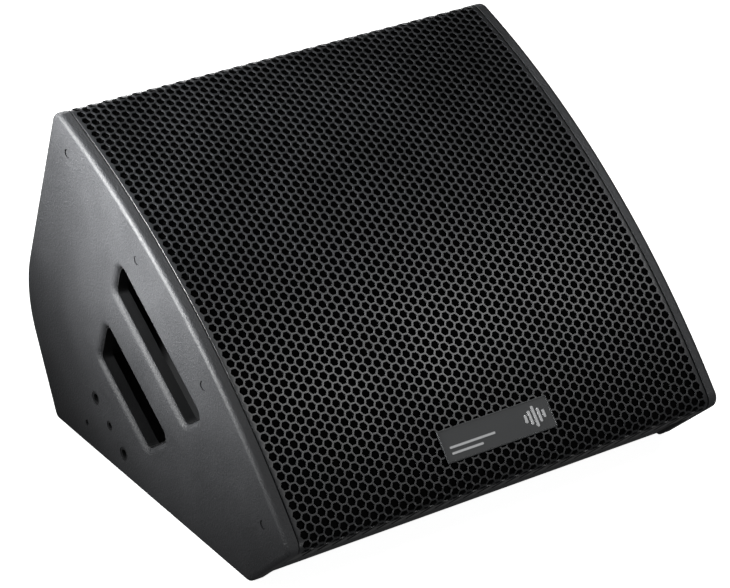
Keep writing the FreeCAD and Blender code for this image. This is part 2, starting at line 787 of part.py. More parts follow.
def grille_fasteners():
    """The screws through the side panels and the nuts clinched in the sides of the grille."""
    item = new_body("grille_screws", "cabinet")
    floor = "half_width - grille_screw_recess"
    both_sides(item, [corner(n) + ("grille_screw_head_radius",) for n in SCREW_NAMES],
               "grille_screw_head_height", floor)
    both_sides(item, [corner(n) + ("grille_screw_radius",) for n in SCREW_NAMES],
               "grille_screw_length", floor, outwards=False)
    nuts = new_body("grille_nuts", "cabinet")
    both_sides(nuts, [corner(n) + ("grille_nut_radius",) for n in SCREW_NAMES],
               "grille_nut_length", "grille_half_inner", outwards=False)
    cut(nuts, "YZ_Plane", [corner(n) + ("grille_screw_radius",) for n in SCREW_NAMES])


INNER_WIDTH = "2 * half_inner"


def panels():
    """The panels that run from side to side, with mitred joints."""
    bottom = prism("bottom_panel", [[corner("front_foot_outer"), corner("rear_foot_outer"),
                                     corner("rear_foot_inner"), corner("front_foot_inner")]],
                   INNER_WIDTH)
    cut(bottom, "XY_Plane", [(x, y, "foot_screw_radius") for x, y in foot_places()],
        "foot_screw_length", towards=1)
    cut(bottom, "XY_Plane", [(x, y, "board_screw_radius") for x, y in board_holes()],
        "board_screw_depth", towards=1, start="panel_thickness - board_screw_depth")
    prism("bevel_panel", [[corner("front_foot_outer"), corner("front_foot_inner"),
                           corner("bevel_end_inner"), corner("bevel_end_outer")]], INNER_WIDTH)
    prism("lower_back_panel", [[corner("rear_foot_outer"), corner("knee_outer"),
                                corner("knee_inner"), corner("rear_foot_inner")]], INNER_WIDTH)
    prism("top_rail", [[corner("rail_front_outer"), corner("rail_front_inner"),
                        corner("back_end_inner"), corner("rail_rear_outer")]], INNER_WIDTH)
    for label, points in (("front_batten", ("front_foot_inner", "front_batten_floor",
                                            "front_batten_wall")),
                          ("rear_batten", ("rear_foot_inner", "rear_batten_wall",
                                           "rear_batten_floor")),
                          ("knee_batten", ("knee_inner", "knee_batten_high",
                                           "knee_batten_low"))):
        prism(label, [[corner(p) for p in points]], INNER_WIDTH)


def seen_from(frame, name):
    """A named point of the section in the axes of one of the frames."""
    y, z, turn = FRAMES[frame]
    right = "(%s_y - (%s))" % (name, y)
    up = "(%s_z - (%s))" % (name, z)
    return ("%s * %s + %s * %s" % (right, cosine(turn), up, sine(turn)),
            "%s * %s - %s * %s" % (up, cosine(turn), right, sine(turn)))


def rectangle(width, height, x="0", y="0"):
    left, right = "%s - (%s) / 2" % (x, width), "%s + (%s) / 2" % (x, width)
    low, high = "%s - (%s) / 2" % (y, height), "%s + (%s) / 2" % (y, height)
    return [(left, low), (right, low), (right, high), (left, high)]


def foot_places():
    return [("(%d) * (half_width - foot_inset_x)" % side, y)
            for side in (-1, 1) for y in ("foot_inset_y", "floor_length - foot_inset_y")]


def board_holes():
    return [("(%d) * (board_width / 2 - board_hole_inset)" % side, y) for side in (-1, 1)
            for y in ("board_front_y + board_hole_inset",
                      "board_front_y + board_depth - board_hole_inset")]


def plate_holes():
    return [("(%d) * (plate_width / 2 - plate_screw_inset)" % column,
             "(%d) * (plate_height / 2 - plate_screw_inset)" % row)
            for column in (-1, 0, 1) for row in (-1, 1)]


def socket_holes():
    return [("(%d) * socket_x + (%d) * socket_screw_x" % (side, slope),
             "(%d) * socket_screw_y" % slope) for side in (-1, 1) for slope in (-1, 1)]


def woofer_holes():
    turns = ["(%d + 0.5) * 360 / woofer_screws" % n for n in range(DRIVING["woofer_screws"])]
    return [("woofer_screw_circle * " + cosine(turn), "woofer_screw_circle * " + sine(turn))
            for turn in turns]


def upper_back_panel():
    """The upper back panel, with the opening behind the connector plate."""
    points = ("knee_outer", "back_end_outer", "back_end_inner", "knee_inner")
    item = prism("upper_back_panel", [[seen_from("plate", p) for p in points]],
                 INNER_WIDTH, frame="plate")
    cut(item, "XY_Plane", [rectangle("plate_opening_width", "plate_opening_height")])
    cut(item, "XY_Plane", [hole + ("plate_screw_radius",) for hole in plate_holes()],
        "plate_screw_length")


def baffle():
    """The front board, with the driver and port holes and notches for the grille nuts."""
    points = ("baffle_low_front", "baffle_high_front", "baffle_high_back", "baffle_low_back")
    item = prism("baffle", [[seen_from("front", p) for p in points]], INNER_WIDTH, frame="front")
    cut(item, "XY_Plane", [("0", "woofer_u", "woofer_cutout")])
    cut(item, "XY_Plane", [(x, "woofer_u + " + y, "tee_nut_barrel_radius")
                           for x, y in woofer_holes()])
    cut(item, "XY_Plane", [("(%d) * port_x" % side, "port_u", "port_bore + port_wall + port_fit")
                           for side in (-1, 1)])
    for side in (-1, 1):
        cut(item, "XY_Plane", [("(%d) * half_inner" % side, seen_from("front", screw)[0],
                                "baffle_notch_radius") for screw in ("screw1", "screw4")])


def grille():
    """The curved front cover with its side flanges and its two lips, as a plain sheet."""
    item = prism("grille", [[corner("top") + ("front_radius",), corner("nose"),
                             corner("nose_lip") + ("-(front_radius - grille_side_depth)",),
                             corner("crest_lip")]], "2 * grille_half_width")
    cut(item, "YZ_Plane", [[corner("crest_inner") + ("front_radius - grille_thickness",),
                            corner("nose_inner"), corner("nose_lip_inner"),
                            corner("crest_lip_inner")]], "2 * grille_half_inner", towards=0)
    round_edges(item, crossing("nose_inner"), "nose_radius - grille_thickness")
    round_edges(item, crossing("crest_inner"), "top_radius - grille_thickness")
    round_edges(item, crossing("nose"), "nose_radius")
    round_edges(item, crossing("top"), "top_radius")
    cut(item, "YZ_Plane", [corner(n) + ("grille_screw_radius",) for n in SCREW_NAMES])


def grille_foam():
    """The thin acoustic foam that lies against the back of the grille."""
    corners = []
    for radius, sign in (("foam_outer", -1), ("foam_outer", 1),
                         ("foam_inner", 1), ("foam_inner", -1)):
        turn = "(%d) * foam_half_angle" % sign
        corners.append(("-%s * %s" % (radius, sine(turn)), "%s * %s" % (radius, cosine(turn))))
    corners[0] += ("foam_outer",)
    corners[2] += ("-foam_inner",)
    prism("grille_foam", [corners], "2 * (half_inner - foam_side_gap)", frame="arc")


def badge():
    """A plain name plate, tangent to the curve of the grille near its lower edge."""
    item = new_body("badge", "badge")
    pad(item, "XY_Plane", [rectangle("badge_length", "badge_height")], "badge_thickness",
        start="front_radius + badge_gap")


def driver():
    """The low-frequency driver: frame, magnet, cone, suspension and voice coil."""
    gasket = ring("woofer_gasket", "woofer", "woofer_cutout + gasket_margin",
                  "woofer_radius - gasket_margin", "0", "gasket_thickness")
    holes = [hole + ("woofer_screw_radius + screw_clearance",) for hole in woofer_holes()]
    cut(gasket, "XY_Plane", [holes[0]], "gasket_thickness", towards=1)
    pattern(gasket, gasket.Tip, "woofer_screws")

    basket = turned("woofer_basket", "woofer", [
        ("basket_ring", "flange_top"), ("woofer_radius", "flange_top"),
        ("woofer_radius", "gasket_thickness"), ("woofer_cutout - basket_gap", "gasket_thickness"),
        ("basket_waist", "-basket_waist_depth"),
        ("basket_seat", "-(spider_ledge_depth + 2 * basket_wall)"),
        ("basket_can", "-(spider_ledge_depth + 3.5 * basket_wall)"),
        ("basket_can", "-basket_depth"), ("basket_bore", "-basket_depth"),
        ("basket_bore", "-(basket_depth - basket_floor)"),
        ("basket_can - basket_wall", "-(basket_depth - basket_floor)"),
        ("basket_can - basket_wall", "-(spider_ledge_depth + basket_wall)"),
        ("spider_ledge", "-(spider_ledge_depth + basket_wall)"),
        ("spider_ledge", "-spider_ledge_depth"),
        ("basket_seat - basket_wall", "-spider_ledge_depth"),
        ("basket_waist - basket_wall", "-(basket_waist_depth - basket_wall)"),
        ("surround_outer + surround_seat_step", "ledge_top"), ("basket_ring", "ledge_top")])
    windows = []
    for side in (-1, 1):
        for radius in ("window_inner", "window_outer")[::side]:
            turn = "(%d) * window_angle / 2" % side
            windows.append(("%s * %s" % (radius, cosine(turn)), "%s * %s" % (radius, sine(turn))))
    windows[1] += ("window_outer",)
    windows[3] += ("-window_inner",)
    windows = [windows[1], windows[2], windows[3], windows[0]]
    cut(basket, "XY_Plane", [windows])
    pattern(basket, basket.Tip, "basket_windows")
    cut(basket, "XY_Plane", holes)

    turned("woofer_surround", "woofer", [
        ("cone_rim_radius - cone_rim_width", "ledge_top"),
        ("surround_inner", "ledge_top", "-surround_roll"), ("surround_outer", "ledge_top"),
        ("basket_ring - surround_gap", "ledge_top"),
        ("basket_ring - surround_gap", "ledge_top + surround_thickness"),
        ("surround_outer", "ledge_top + surround_thickness", "surround_roll"),
        ("surround_inner", "ledge_top + surround_thickness"),
        ("cone_rim_radius - cone_rim_width", "ledge_top + surround_thickness")])
    turned("woofer_cone", "woofer", [
        ("cone_rim_radius - cone_rim_width", "ledge_top"), ("cone_rim_radius", "ledge_top"),
        ("cone_rim_radius", "ledge_top - cone_thickness"),
        ("cone_rim_radius - cone_rim_width + cone_thickness", "ledge_top - cone_thickness"),
        ("former_radius", "-(former_top + cone_lap)"), ("former_radius", "-former_top")])
    ring("voice_coil_former", "woofer", "coil_radius", "former_radius",
         "-former_bottom", "-(former_top - cone_lap)")
    ring("voice_coil_winding", "woofer", "former_radius", "winding_radius",
         "-former_bottom", "-(former_bottom - winding_height)")
    turned("woofer_spider", "woofer", spider_outline())
    ring("top_plate", "woofer", "winding_radius + air_gap", "top_plate_radius",
         "-top_plate_low", "-basket_depth")
    ring("woofer_magnet", "woofer", "magnet_bore", "magnet_radius", "-magnet_low",
         "-top_plate_low")
    turned("back_plate", "woofer", [
        ("throat_radius", "-back_plate_low"), ("back_plate_radius", "-back_plate_low"),
        ("back_plate_radius", "-magnet_low"), ("pole_radius", "-magnet_low"),
        ("pole_radius", "-basket_depth"), ("throat_radius", "-basket_depth")])

    shanks = [hole + ("woofer_screw_radius",) for hole in woofer_holes()]
    screws = new_body("woofer_screws", "woofer")
    pad(screws, "XY_Plane", [hole + ("woofer_screw_head_radius",) for hole in woofer_holes()],
        "woofer_screw_head_height", start="flange_top")
    pad(screws, "XY_Plane", shanks, "woofer_screw_length", towards=-1, start="flange_top")
    nuts = new_body("woofer_tee_nuts", "woofer")
    pad(nuts, "XY_Plane", [hole + ("tee_nut_radius",) for hole in woofer_holes()],
        "tee_nut_thickness", towards=-1, start="-panel_thickness")
    pad(nuts, "XY_Plane", [hole + ("tee_nut_barrel_radius",) for hole in woofer_holes()],
        "tee_nut_barrel_length", start="-panel_thickness")
    cut(nuts, "XY_Plane", shanks)


def spider_outline():
    """The corrugated centring disc: flat on its ledge, with waves between it and the coil."""
    steps = DRIVING["spider_waves"] * 2
    width = "(spider_ledge - former_radius)"
    low, high = [], []
    for n in range(steps + 1):
        radius = "former_radius + %s * %d / %d" % (width, n, steps)
        lift = "spider_wave / 2" if n % 2 else "0"
        low.append((radius, "-spider_ledge_depth + " + lift))
        high.append((radius, "-spider_ledge_depth + spider_thickness + " + lift))
    rim = [("spider_radius", "-spider_ledge_depth"),
           ("spider_radius", "-spider_ledge_depth + spider_thickness")]
    return low + rim + high[::-1]


def compression_driver():
    """The high-frequency driver on the back plate and its horn in the middle of the cone."""
    turned("hf_horn", "woofer", [
        ("throat_radius", "-basket_depth"), ("horn_base_radius", "-basket_depth"),
        ("horn_base_radius", "-(basket_depth - horn_base_thickness)"),
        ("throat_radius + 2 * horn_wall", "-(basket_depth - horn_base_thickness)"),
        ("horn_waist_radius + horn_wall", "-horn_waist_depth"),
        ("horn_mouth_radius + horn_wall", "-horn_mouth_depth"),
        ("horn_mouth_radius", "-horn_mouth_depth"),
        ("horn_waist_radius - horn_wall", "-horn_waist_depth")])
    turned("hf_housing", "woofer", [
        ("throat_radius", "-back_plate_low"), ("hf_radius", "-back_plate_low"),
        ("hf_radius", "-hf_low"), ("hf_radius - hf_wall", "-hf_low"),
        ("hf_radius - hf_wall", "-hf_floor"), ("throat_radius", "-hf_floor")])
    ring("hf_cap", "woofer", "0", "hf_radius", "-(hf_low + hf_cap_thickness)", "-hf_low")
    ring("hf_magnet", "woofer", "hf_magnet_bore", "hf_magnet_radius", "-hf_magnet_low",
         "-hf_floor")
    ring("hf_phase_plug", "woofer", "throat_radius", "hf_plug_radius",
         "-(hf_floor + hf_plug_height)", "-hf_floor")
    ring("hf_mount_ring", "woofer", "hf_ring_bore", "hf_magnet_radius", "-hf_ring_low",
         "-hf_magnet_low")
    ring("hf_surround", "woofer", "hf_dome_radius", "hf_surround_radius",
         "-(hf_ring_low + hf_dome_thickness)", "-hf_ring_low")
    sphere = "(hf_dome_radius ^ 2 + hf_dome_rise ^ 2) / (2 * hf_dome_rise)"
    turned("hf_diaphragm", "woofer", [
        ("0", "-(hf_ring_low + hf_dome_thickness + hf_dome_rise)"),
        ("0", "-(hf_ring_low + hf_dome_rise)", sphere),
        ("hf_dome_radius", "-hf_ring_low"),
        ("hf_dome_radius", "-(hf_ring_low + hf_dome_thickness)", "-(%s)" % sphere)])


def ports():
    for name, side in SIDES:
        item = turned("port_tube_" + name, "port", [
            ("port_bore", "port_flange_thickness"),
            ("port_flange_radius", "port_flange_thickness"), ("port_flange_radius", "0"),
            ("port_bore + port_wall", "0"), ("port_bore + port_wall", "-port_length"),
            ("port_bore", "-port_length")], x="(%d) * port_x" % side)


def crossover():
    """The passive network on spacers above the floor panel."""
    outline = rectangle("board_width", "board_depth", "0", "board_front_y + board_depth / 2")
    clear = [hole + ("board_screw_radius + small_screw_clearance",) for hole in board_holes()]
    shanks = [hole + ("board_screw_radius",) for hole in board_holes()]
    board = new_body("crossover_board", "cabinet")
    pad(board, "XY_Plane", [outline], "board_thickness", start="board_z")
    cut(board, "XY_Plane", clear)
    spacers = new_body("board_spacers", "cabinet")
    pad(spacers, "XY_Plane", [hole + ("spacer_radius",) for hole in board_holes()],
        "board_lift", start="panel_thickness")
    cut(spacers, "XY_Plane", clear)
    screws = new_body("board_screws", "cabinet")
    pad(screws, "XY_Plane", [hole + ("board_screw_head",) for hole in board_holes()],
        "board_screw_head_height", start="board_top")
    pad(screws, "XY_Plane", shanks, "board_top - panel_thickness + board_screw_depth",
        towards=-1, start="board_top")
    ring("large_inductor", "board", "coil_bore", "large_coil_radius", "0", "large_coil_height",
         x="-large_coil_x")
    ring("small_inductor", "board", "coil_bore", "small_coil_radius", "0", "small_coil_height",
         x="small_coil_x")
    capacitors = new_body("crossover_capacitors", "board")
    across = "capacitor_x + (%d) * (2 * capacitor_radius + capacitor_gap)"
    pad(capacitors, "XZ_Plane", [(across % n, "capacitor_radius", "capacitor_radius")
                                 for n in (0, 1)], "capacitor_length", towards=0)
    resistor = new_body("crossover_resistor", "board")
    pad(resistor, "XY_Plane", [rectangle("resistor_length", "resistor_side", "small_coil_x",
                                         "(board_depth - resistor_side) / 2 - board_hole_inset")],
        "resistor_side")


def connector_plate():
    """The steel plate on the back with its two locking loudspeaker sockets."""
    face = "(plate_gasket + plate_thickness)"
    outline = rectangle("plate_width", "plate_height")
    opening = rectangle("plate_opening_width", "plate_opening_height")
    screws = [hole + ("plate_screw_radius + small_screw_clearance",) for hole in plate_holes()]
    gasket = new_body("plate_gasket", "plate")
    pad(gasket, "XY_Plane", [outline], "plate_gasket")
    cut(gasket, "XY_Plane", [opening])
    cut(gasket, "XY_Plane", screws)
    plate = new_body("connector_plate", "plate")
    pad(plate, "XY_Plane", [outline], "plate_thickness", start="plate_gasket")
    round_edges(plate, lambda e: e.BoundBox.XLength < NEAR and e.BoundBox.YLength < NEAR,
                "plate_corner")
    cut(plate, "XY_Plane", [("(%d) * socket_x" % side, "0", "socket_radius + socket_gap")
                            for side in (-1, 1)])
    cut(plate, "XY_Plane", screws)
    cut(plate, "XY_Plane", [hole + ("socket_screw_radius",) for hole in socket_holes()])
    for name, side in SIDES:
        item = new_body("connector_socket_" + name, "plate", "(%d) * socket_x" % side)
        pad(item, "XY_Plane", [rectangle("socket_flange_width", "socket_flange_height")],
            "socket_flange_thickness", start=face)
        pad(item, "XY_Plane", [("0", "0", "socket_radius")], "socket_depth", towards=-1,
            start=face)
        cut(item, "XY_Plane", [("0", "0", "socket_bore")], "socket_bore_depth", towards=-1,
            start=face + " + socket_flange_thickness")
        cut(item, "XY_Plane", [("(%d) * socket_screw_x" % s, "(%d) * socket_screw_y" % s,
                                "socket_screw_radius + socket_screw_clearance") for s in (-1, 1)])
    item = new_body("socket_screws", "plate")
    pad(item, "XY_Plane", [hole + ("socket_screw_head_radius",) for hole in socket_holes()],
        "socket_screw_head_height", start=face + " + socket_flange_thickness")
    pad(item, "XY_Plane", [hole + ("socket_screw_radius",) for hole in socket_holes()],
        "socket_screw_length", towards=-1, start=face + " + socket_flange_thickness")
    item = new_body("plate_screws", "plate")
    pad(item, "XY_Plane", [hole + ("plate_screw_head_radius",) for hole in plate_holes()],
        "plate_screw_head_height", start=face)
    pad(item, "XY_Plane", [hole + ("plate_screw_radius",) for hole in plate_holes()],
        "plate_screw_length", towards=-1, start=face)


def feet():
    """Four low rubber feet, each held by one sunk screw."""
    seat = "-(foot_height - foot_screw_recess)"
    item = new_body("feet", "cabinet")
    pad(item, "XY_Plane", [spot + ("foot_radius",) for spot in foot_places()], "foot_height",
        towards=-1)
    round_edges(item, lambda e: abs(e.BoundBox.ZMax + number("foot_height")) < NEAR
                and e.BoundBox.ZLength < NEAR, "foot_edge_radius")
    head = "foot_screw_head_radius + foot_screw_head_gap"
    cut(item, "XY_Plane", [spot + (head,) for spot in foot_places()],
        "foot_height", towards=-1, start=seat)
    cut(item, "XY_Plane", [spot + ("foot_screw_radius + small_screw_clearance",) for spot in foot_places()])
    screws = new_body("foot_screws", "cabinet")
    pad(screws, "XY_Plane", [spot + ("foot_screw_head_radius",) for spot in foot_places()],
        "foot_screw_head_height", towards=-1, start=seat)
    pad(screws, "XY_Plane", [spot + ("foot_screw_radius",) for spot in foot_places()],
        "foot_screw_length", start=seat)


def wadding():
    """Damping felt on the floor panel and on the lower back panel."""
    prism("floor_wadding", [[("wadding_front_y", "panel_thickness"),
                             ("wadding_rear_y", "panel_thickness"),
                             ("wadding_rear_y", "panel_thickness + wadding_thickness"),
                             ("wadding_front_y", "panel_thickness + wadding_thickness")]],
          "wadding_width")
    prism("back_wadding", [[corner("back_pad_low_outer"), corner("back_pad_high_outer"),
                            corner("back_pad_high_inner"), corner("back_pad_low_inner")]],
          "wadding_width")


for side_name, side_hand in SIDES:
    side_panel(side_name, side_hand)
    handle_cup(side_name, side_hand)
rigging()
grille_fasteners()
panels()
upper_back_panel()
baffle()
grille()
grille_foam()
badge()
driver()
compression_driver()
ports()
crossover()
connector_plate()
feet()
wadding()
doc.recompute()

# ---------------------------------------------------------------- checks and files

for item in doc.Objects:
    if "Invalid" in item.State or "Error" in item.State:
        raise RuntimeError("%s failed: %s" % (item.Name, item.State))
bodies = [item for item in doc.Objects if item.TypeId == "PartDesign::Body"]
for item in bodies:
    if item.Shape.isNull() or not item.Shape.isValid() or not item.Shape.Solids:
        raise RuntimeError(item.Label + " has no valid solid")

os.makedirs("parts", exist_ok=True)
for item in bodies:
    item.Shape.exportStep("parts/%s.step" % item.Label)
print(len(bodies), "parts")
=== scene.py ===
# %% [markdown]
# # A stage monitor wedge
# A floor loudspeaker for a performer on stage. The cabinet is painted plywood, the front is
# a curved, perforated steel cover, and each side has a hand grip cut through it. The CAD
# frame already holds every panel, screw and driver part at its real place. This script
# gives each of them its finish, and models again the pieces whose detail is finer than
# the CAD: the perforated cover, the foam behind it, the name plate, the wadding and the
# cloth that holds the cone.

# %% Load the frame
import bpy
import json
import math
from collections import Counter
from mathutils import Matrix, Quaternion, Vector


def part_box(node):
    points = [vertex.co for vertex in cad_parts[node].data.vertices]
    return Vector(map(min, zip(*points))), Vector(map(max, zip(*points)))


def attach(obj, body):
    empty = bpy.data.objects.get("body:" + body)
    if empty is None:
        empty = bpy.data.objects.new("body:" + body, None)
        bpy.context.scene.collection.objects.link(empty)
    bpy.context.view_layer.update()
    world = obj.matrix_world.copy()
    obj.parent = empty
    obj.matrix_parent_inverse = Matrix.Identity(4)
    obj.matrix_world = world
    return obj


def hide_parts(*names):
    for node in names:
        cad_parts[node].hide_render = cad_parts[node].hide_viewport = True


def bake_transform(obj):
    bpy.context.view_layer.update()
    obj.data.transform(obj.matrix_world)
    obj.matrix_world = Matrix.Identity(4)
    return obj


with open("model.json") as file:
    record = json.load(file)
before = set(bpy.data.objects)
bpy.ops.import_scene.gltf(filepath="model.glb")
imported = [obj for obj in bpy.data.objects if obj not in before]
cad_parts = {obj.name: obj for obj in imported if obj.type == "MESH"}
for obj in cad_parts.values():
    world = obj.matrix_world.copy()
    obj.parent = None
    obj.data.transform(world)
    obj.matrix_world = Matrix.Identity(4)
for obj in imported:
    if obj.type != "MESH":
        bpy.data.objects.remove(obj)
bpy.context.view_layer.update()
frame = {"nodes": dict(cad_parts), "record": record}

nodes = frame["nodes"]
scene = bpy.context.scene
MERGE = 0.00001

# %% [markdown]
# ## Camera
# The camera stands about 2.9 m away, to the left of the cabinet and above it, with a long
# lens, so that the far side panel looks hardly smaller than the near one. It is given by
# where it stands, the way it looks and a small roll. Nothing else depends on it.

# %% Camera
CAMERA_PLACE = Vector((-1.50326, -2.17421, 1.55680))
CAMERA_DISTANCE = 2.9
CAMERA_TARGET = CAMERA_PLACE + CAMERA_DISTANCE * Vector((0.501272, 0.727547, -0.468404))
CAMERA_ROLL = math.radians(0.623)
LENS = 151.2

bpy.ops.object.select_all(action="DESELECT")
bpy.ops.object.camera_add(location=CAMERA_PLACE)
camera = bpy.context.object
camera.name = "camera"
camera.data.lens = LENS
camera.data.clip_start = 0.05
camera.data.clip_end = 60
aim = (CAMERA_TARGET - CAMERA_PLACE).to_track_quat("-Z", "Y")
camera.rotation_euler = (aim @ Quaternion((0, 0, 1), CAMERA_ROLL)).to_euler()
scene.camera = camera
print("camera to the middle of the object:", CAMERA_DISTANCE, "m")

# %% [markdown]
# ## Light and floor
# The cabinet is black, so what the eye sees is mostly the soft light that its paint and
# its cover throw back. A soft light with a narrow beam stands on the left and lights the
# top of the side panel, so that the panel grows darker downwards. A second one hangs high
# in front, where the webs of the lower half of the cover mirror it. A third lights the
# back, and a long low one does what a pale floor does: it lifts the edge under the nose.
# The floor and the dome round it are white and glow a little, and they are hidden from
# the cabinet's own reflections, because a white room would turn the black paint grey.

# %% Light and floor


def soft_light(name, place, target, width, height, watts, spread):
    """A rectangular studio light at a place, aimed at a target, in metres and degrees."""
    bpy.ops.object.select_all(action="DESELECT")
    bpy.ops.object.light_add(type="AREA", location=place)
    lamp = bpy.context.object
    lamp.name = name
    lamp.data.shape = "RECTANGLE"
    lamp.data.size = width
    lamp.data.size_y = height
    lamp.data.energy = watts
    lamp.data.spread = math.radians(spread)
    lamp.rotation_euler = (Vector(target) - Vector(place)).to_track_quat("-Z", "Y").to_euler()


soft_light("side_light", (-0.95, 0.18, 0.6), (-0.25, 0.02, 0.38), 0.3, 0.3, 5.2, spread=40)
soft_light("front_light", (0.8, -0.78, 1.42), (0.0, -0.16, 0.17), 0.6, 0.5, 2.4, spread=90)
soft_light("back_light", (0.3, 1.9, 0.6), (0.0, 0.2, 0.15), 0.9, 0.6, 12, spread=100)
soft_light("floor_bounce", (-0.1, -0.95, 0.02), (0.0, -0.2, 0.04), 1.3, 0.12, 1.2, spread=120)

FLOOR_SIZE = 40
DOME_RADIUS = 18
ROOM_LIGHT = 0.09

bpy.ops.object.select_all(action="DESELECT")
bpy.ops.mesh.primitive_plane_add(size=FLOOR_SIZE, location=(0, 0, 0))
floor = bpy.context.object
floor.name = "floor"
bpy.ops.object.select_all(action="DESELECT")
bpy.ops.mesh.primitive_uv_sphere_add(segments=48, ring_count=24, radius=DOME_RADIUS)
backdrop = bpy.context.object
backdrop.name = "backdrop"
bpy.ops.object.shade_smooth()
for sweep in (floor, backdrop):
    sweep.visible_diffuse = False
    sweep.visible_glossy = False
    sweep.visible_shadow = False

world = bpy.data.worlds.new("studio")
scene.world = world
world.use_nodes = True
room = world.node_tree.nodes["Background"]
room.inputs["Color"].default_value = (1, 1, 1, 1)
room.inputs["Strength"].default_value = ROOM_LIGHT
scene.view_settings.view_transform = "Standard"

# %% [markdown]
# ## Tools for finishes
# A colour is written as the hex number that a paint chart or a picture editor gives, and
# one function turns it into the linear numbers that the renderer works with. Another adds
# a node, with its settings and the links that go into it. All the finishes here are fine
# random textures, so one more function makes them all: a pattern of grains, mixed with
# broad clouds, moves the colour and the gloss between two values, and the grains alone
# give the relief. Every pattern reads Object coordinates, so it stays on its piece.

# %% Tools for finishes


def colour(code):
    """A hex colour in sRGB, such as 1f2022, as linear red, green, blue and alpha."""
    channels = [int(code[i:i + 2], 16) / 255 for i in (0, 2, 4)]
    return [c / 12.92 if c <= 0.04045 else ((c + 0.055) / 1.055) ** 2.4 for c in channels] + [1.0]


def add_node(material, kind, settings=None, **links):
    """A node of that kind. A link's name is the input's, with _ for a space."""
    node = material.node_tree.nodes.new(kind)
    for name, value in (settings or {}).items():
        if isinstance(name, int) or name in node.inputs:
            node.inputs[name].default_value = value
        else:
            setattr(node, name, value)
    for name, source in links.items():
        material.node_tree.links.new(source, node.inputs[name.replace("_", " ")])
    return node


def per_metre(size_in_mm):
    """The scale of a texture whose grains are to be that large."""
    return 1000.0 / size_in_mm


CLOUD_SIZE = 70
PATTERN_LOW, PATTERN_HIGH = 0.3, 0.7


def finish(name, dark, light, roughness, grain, relief, metallic=0.0, kind="noise",
           gloss_change=0.1, **shader):
    """A surface with a fine pattern: two colours mixed by it, its grain and relief in mm."""
    material = bpy.data.materials.new(name)
    material.use_nodes = True
    surface = material.node_tree.nodes["Principled BSDF"]
    surface.inputs["Metallic"].default_value = metallic
    for key, value in shader.items():
        surface.inputs[key.replace("_", " ")].default_value = value
    link = material.node_tree.links.new
    place = add_node(material, "ShaderNodeTexCoord").outputs["Object"]
    if kind == "cells":
        pattern = add_node(material, "ShaderNodeTexVoronoi", {"Scale": per_metre(grain)},
                           Vector=place).outputs["Distance"]
    else:
        pattern = add_node(material, "ShaderNodeTexNoise",
                           {"Scale": per_metre(grain), "Detail": 3.0, "Roughness": 0.6},
                           Vector=place).outputs["Fac"]
    cloud = add_node(material, "ShaderNodeTexNoise",
                     {"Scale": per_metre(CLOUD_SIZE), "Detail": 2.0},
                     Vector=place).outputs["Fac"]
    half = add_node(material, "ShaderNodeMath", {"operation": "MULTIPLY", 1: 0.5})
    link(cloud, half.inputs[0])
    mixed = add_node(material, "ShaderNodeMath", {"operation": "MULTIPLY_ADD", 1: 0.5})
    link(pattern, mixed.inputs[0])
    link(half.outputs[0], mixed.inputs[2])
    total = mixed.outputs[0]
    ramp = add_node(material, "ShaderNodeValToRGB", Fac=total)
    ramp.color_ramp.elements[0].position = PATTERN_LOW
    ramp.color_ramp.elements[0].color = colour(dark)
    ramp.color_ramp.elements[1].position = PATTERN_HIGH
    ramp.color_ramp.elements[1].color = colour(light)
    link(ramp.outputs["Color"], surface.inputs["Base Color"])
    gloss = add_node(material, "ShaderNodeMapRange",
                     {"From Min": PATTERN_LOW, "From Max": PATTERN_HIGH,
                      "To Min": roughness - gloss_change,
                      "To Max": roughness + gloss_change}, Value=total)
    link(gloss.outputs["Result"], surface.inputs["Roughness"])
    bump = add_node(material, "ShaderNodeBump", {"Strength": 1.0, "Distance": relief / 1000},
                    Height=pattern)
    link(bump.outputs["Normal"], surface.inputs["Normal"])
    return material


# %% [markdown]
# ## Finishes
# Each finish is named for the real material and how its surface is made. It has two
# colours, a roughness, a grain in millimetres and the relief of that grain. The true grain
# of powder coat, rubber, plating, ink, cloth and bare metal is finer than a render shows,
# so theirs is drawn coarser. A finish could be a picture laid on the surface, but a
# pattern made by nodes has no seams and no limit to its sharpness.

# %% Finishes of what shows outside
# Water-based paint, rolled and then sprayed in drops: matt, with a pebbly skin.
paint = finish("textured_speaker_paint", "1b1c1e", "2e2f31", 0.62, 1.9, 0.7)
# Baked powder: smooth and a little glossy, so that the webs catch the light.
powder_coat = finish("powder_coated_steel", "1a1b1c", "262729", 0.4, 1.1, 0.05,
                     gloss_change=0.06)
# Open cells swallow nearly all light, so the holes of the cover look black.
foam = finish("open_cell_foam", "020202", "070707", 0.97, 1.3, 0.8, kind="cells",
              Specular_IOR_Level=0.03)
# Moulded against a spark-eroded steel tool, which leaves it dull.
plastic = finish("moulded_plastic", "0b0b0c", "151617", 0.6, 1.3, 0.15,
                 Specular_IOR_Level=0.25)
# Soft rubber has almost no gloss.
rubber = finish("moulded_rubber", "121212", "1e1e1e", 0.8, 0.8, 0.05)
# Rolled, anodised and dyed: an even dark grey with a soft sheen.
plate_metal = finish("anodised_aluminium", "2c2d2e", "383a3b", 0.55, 0.6, 0.02, metallic=0.2)
# Ink with metal flakes in it.
silver_print = finish("satin_silver_print", "a2a3a4", "b6b7b8", 0.5, 0.6, 0.01, metallic=0.2)
# A chemical black on steel is dark, and keeps some of the shine of metal.
black_steel = finish("blackened_steel", "141414", "2b2b2b", 0.4, 1.0, 0.03, metallic=0.8)
# Black passivated zinc is a shade lighter and less even.
black_zinc = finish("black_zinc_plated_steel", "1a1a1b", "303132", 0.45, 1.0, 0.03,
                    metallic=0.6)
# The cover's screws take the cabinet's colour, so they hardly stand out from it.
painted_steel = finish("painted_screw_steel", "1b1c1e", "2e2f31", 0.6, 1.0, 0.05)
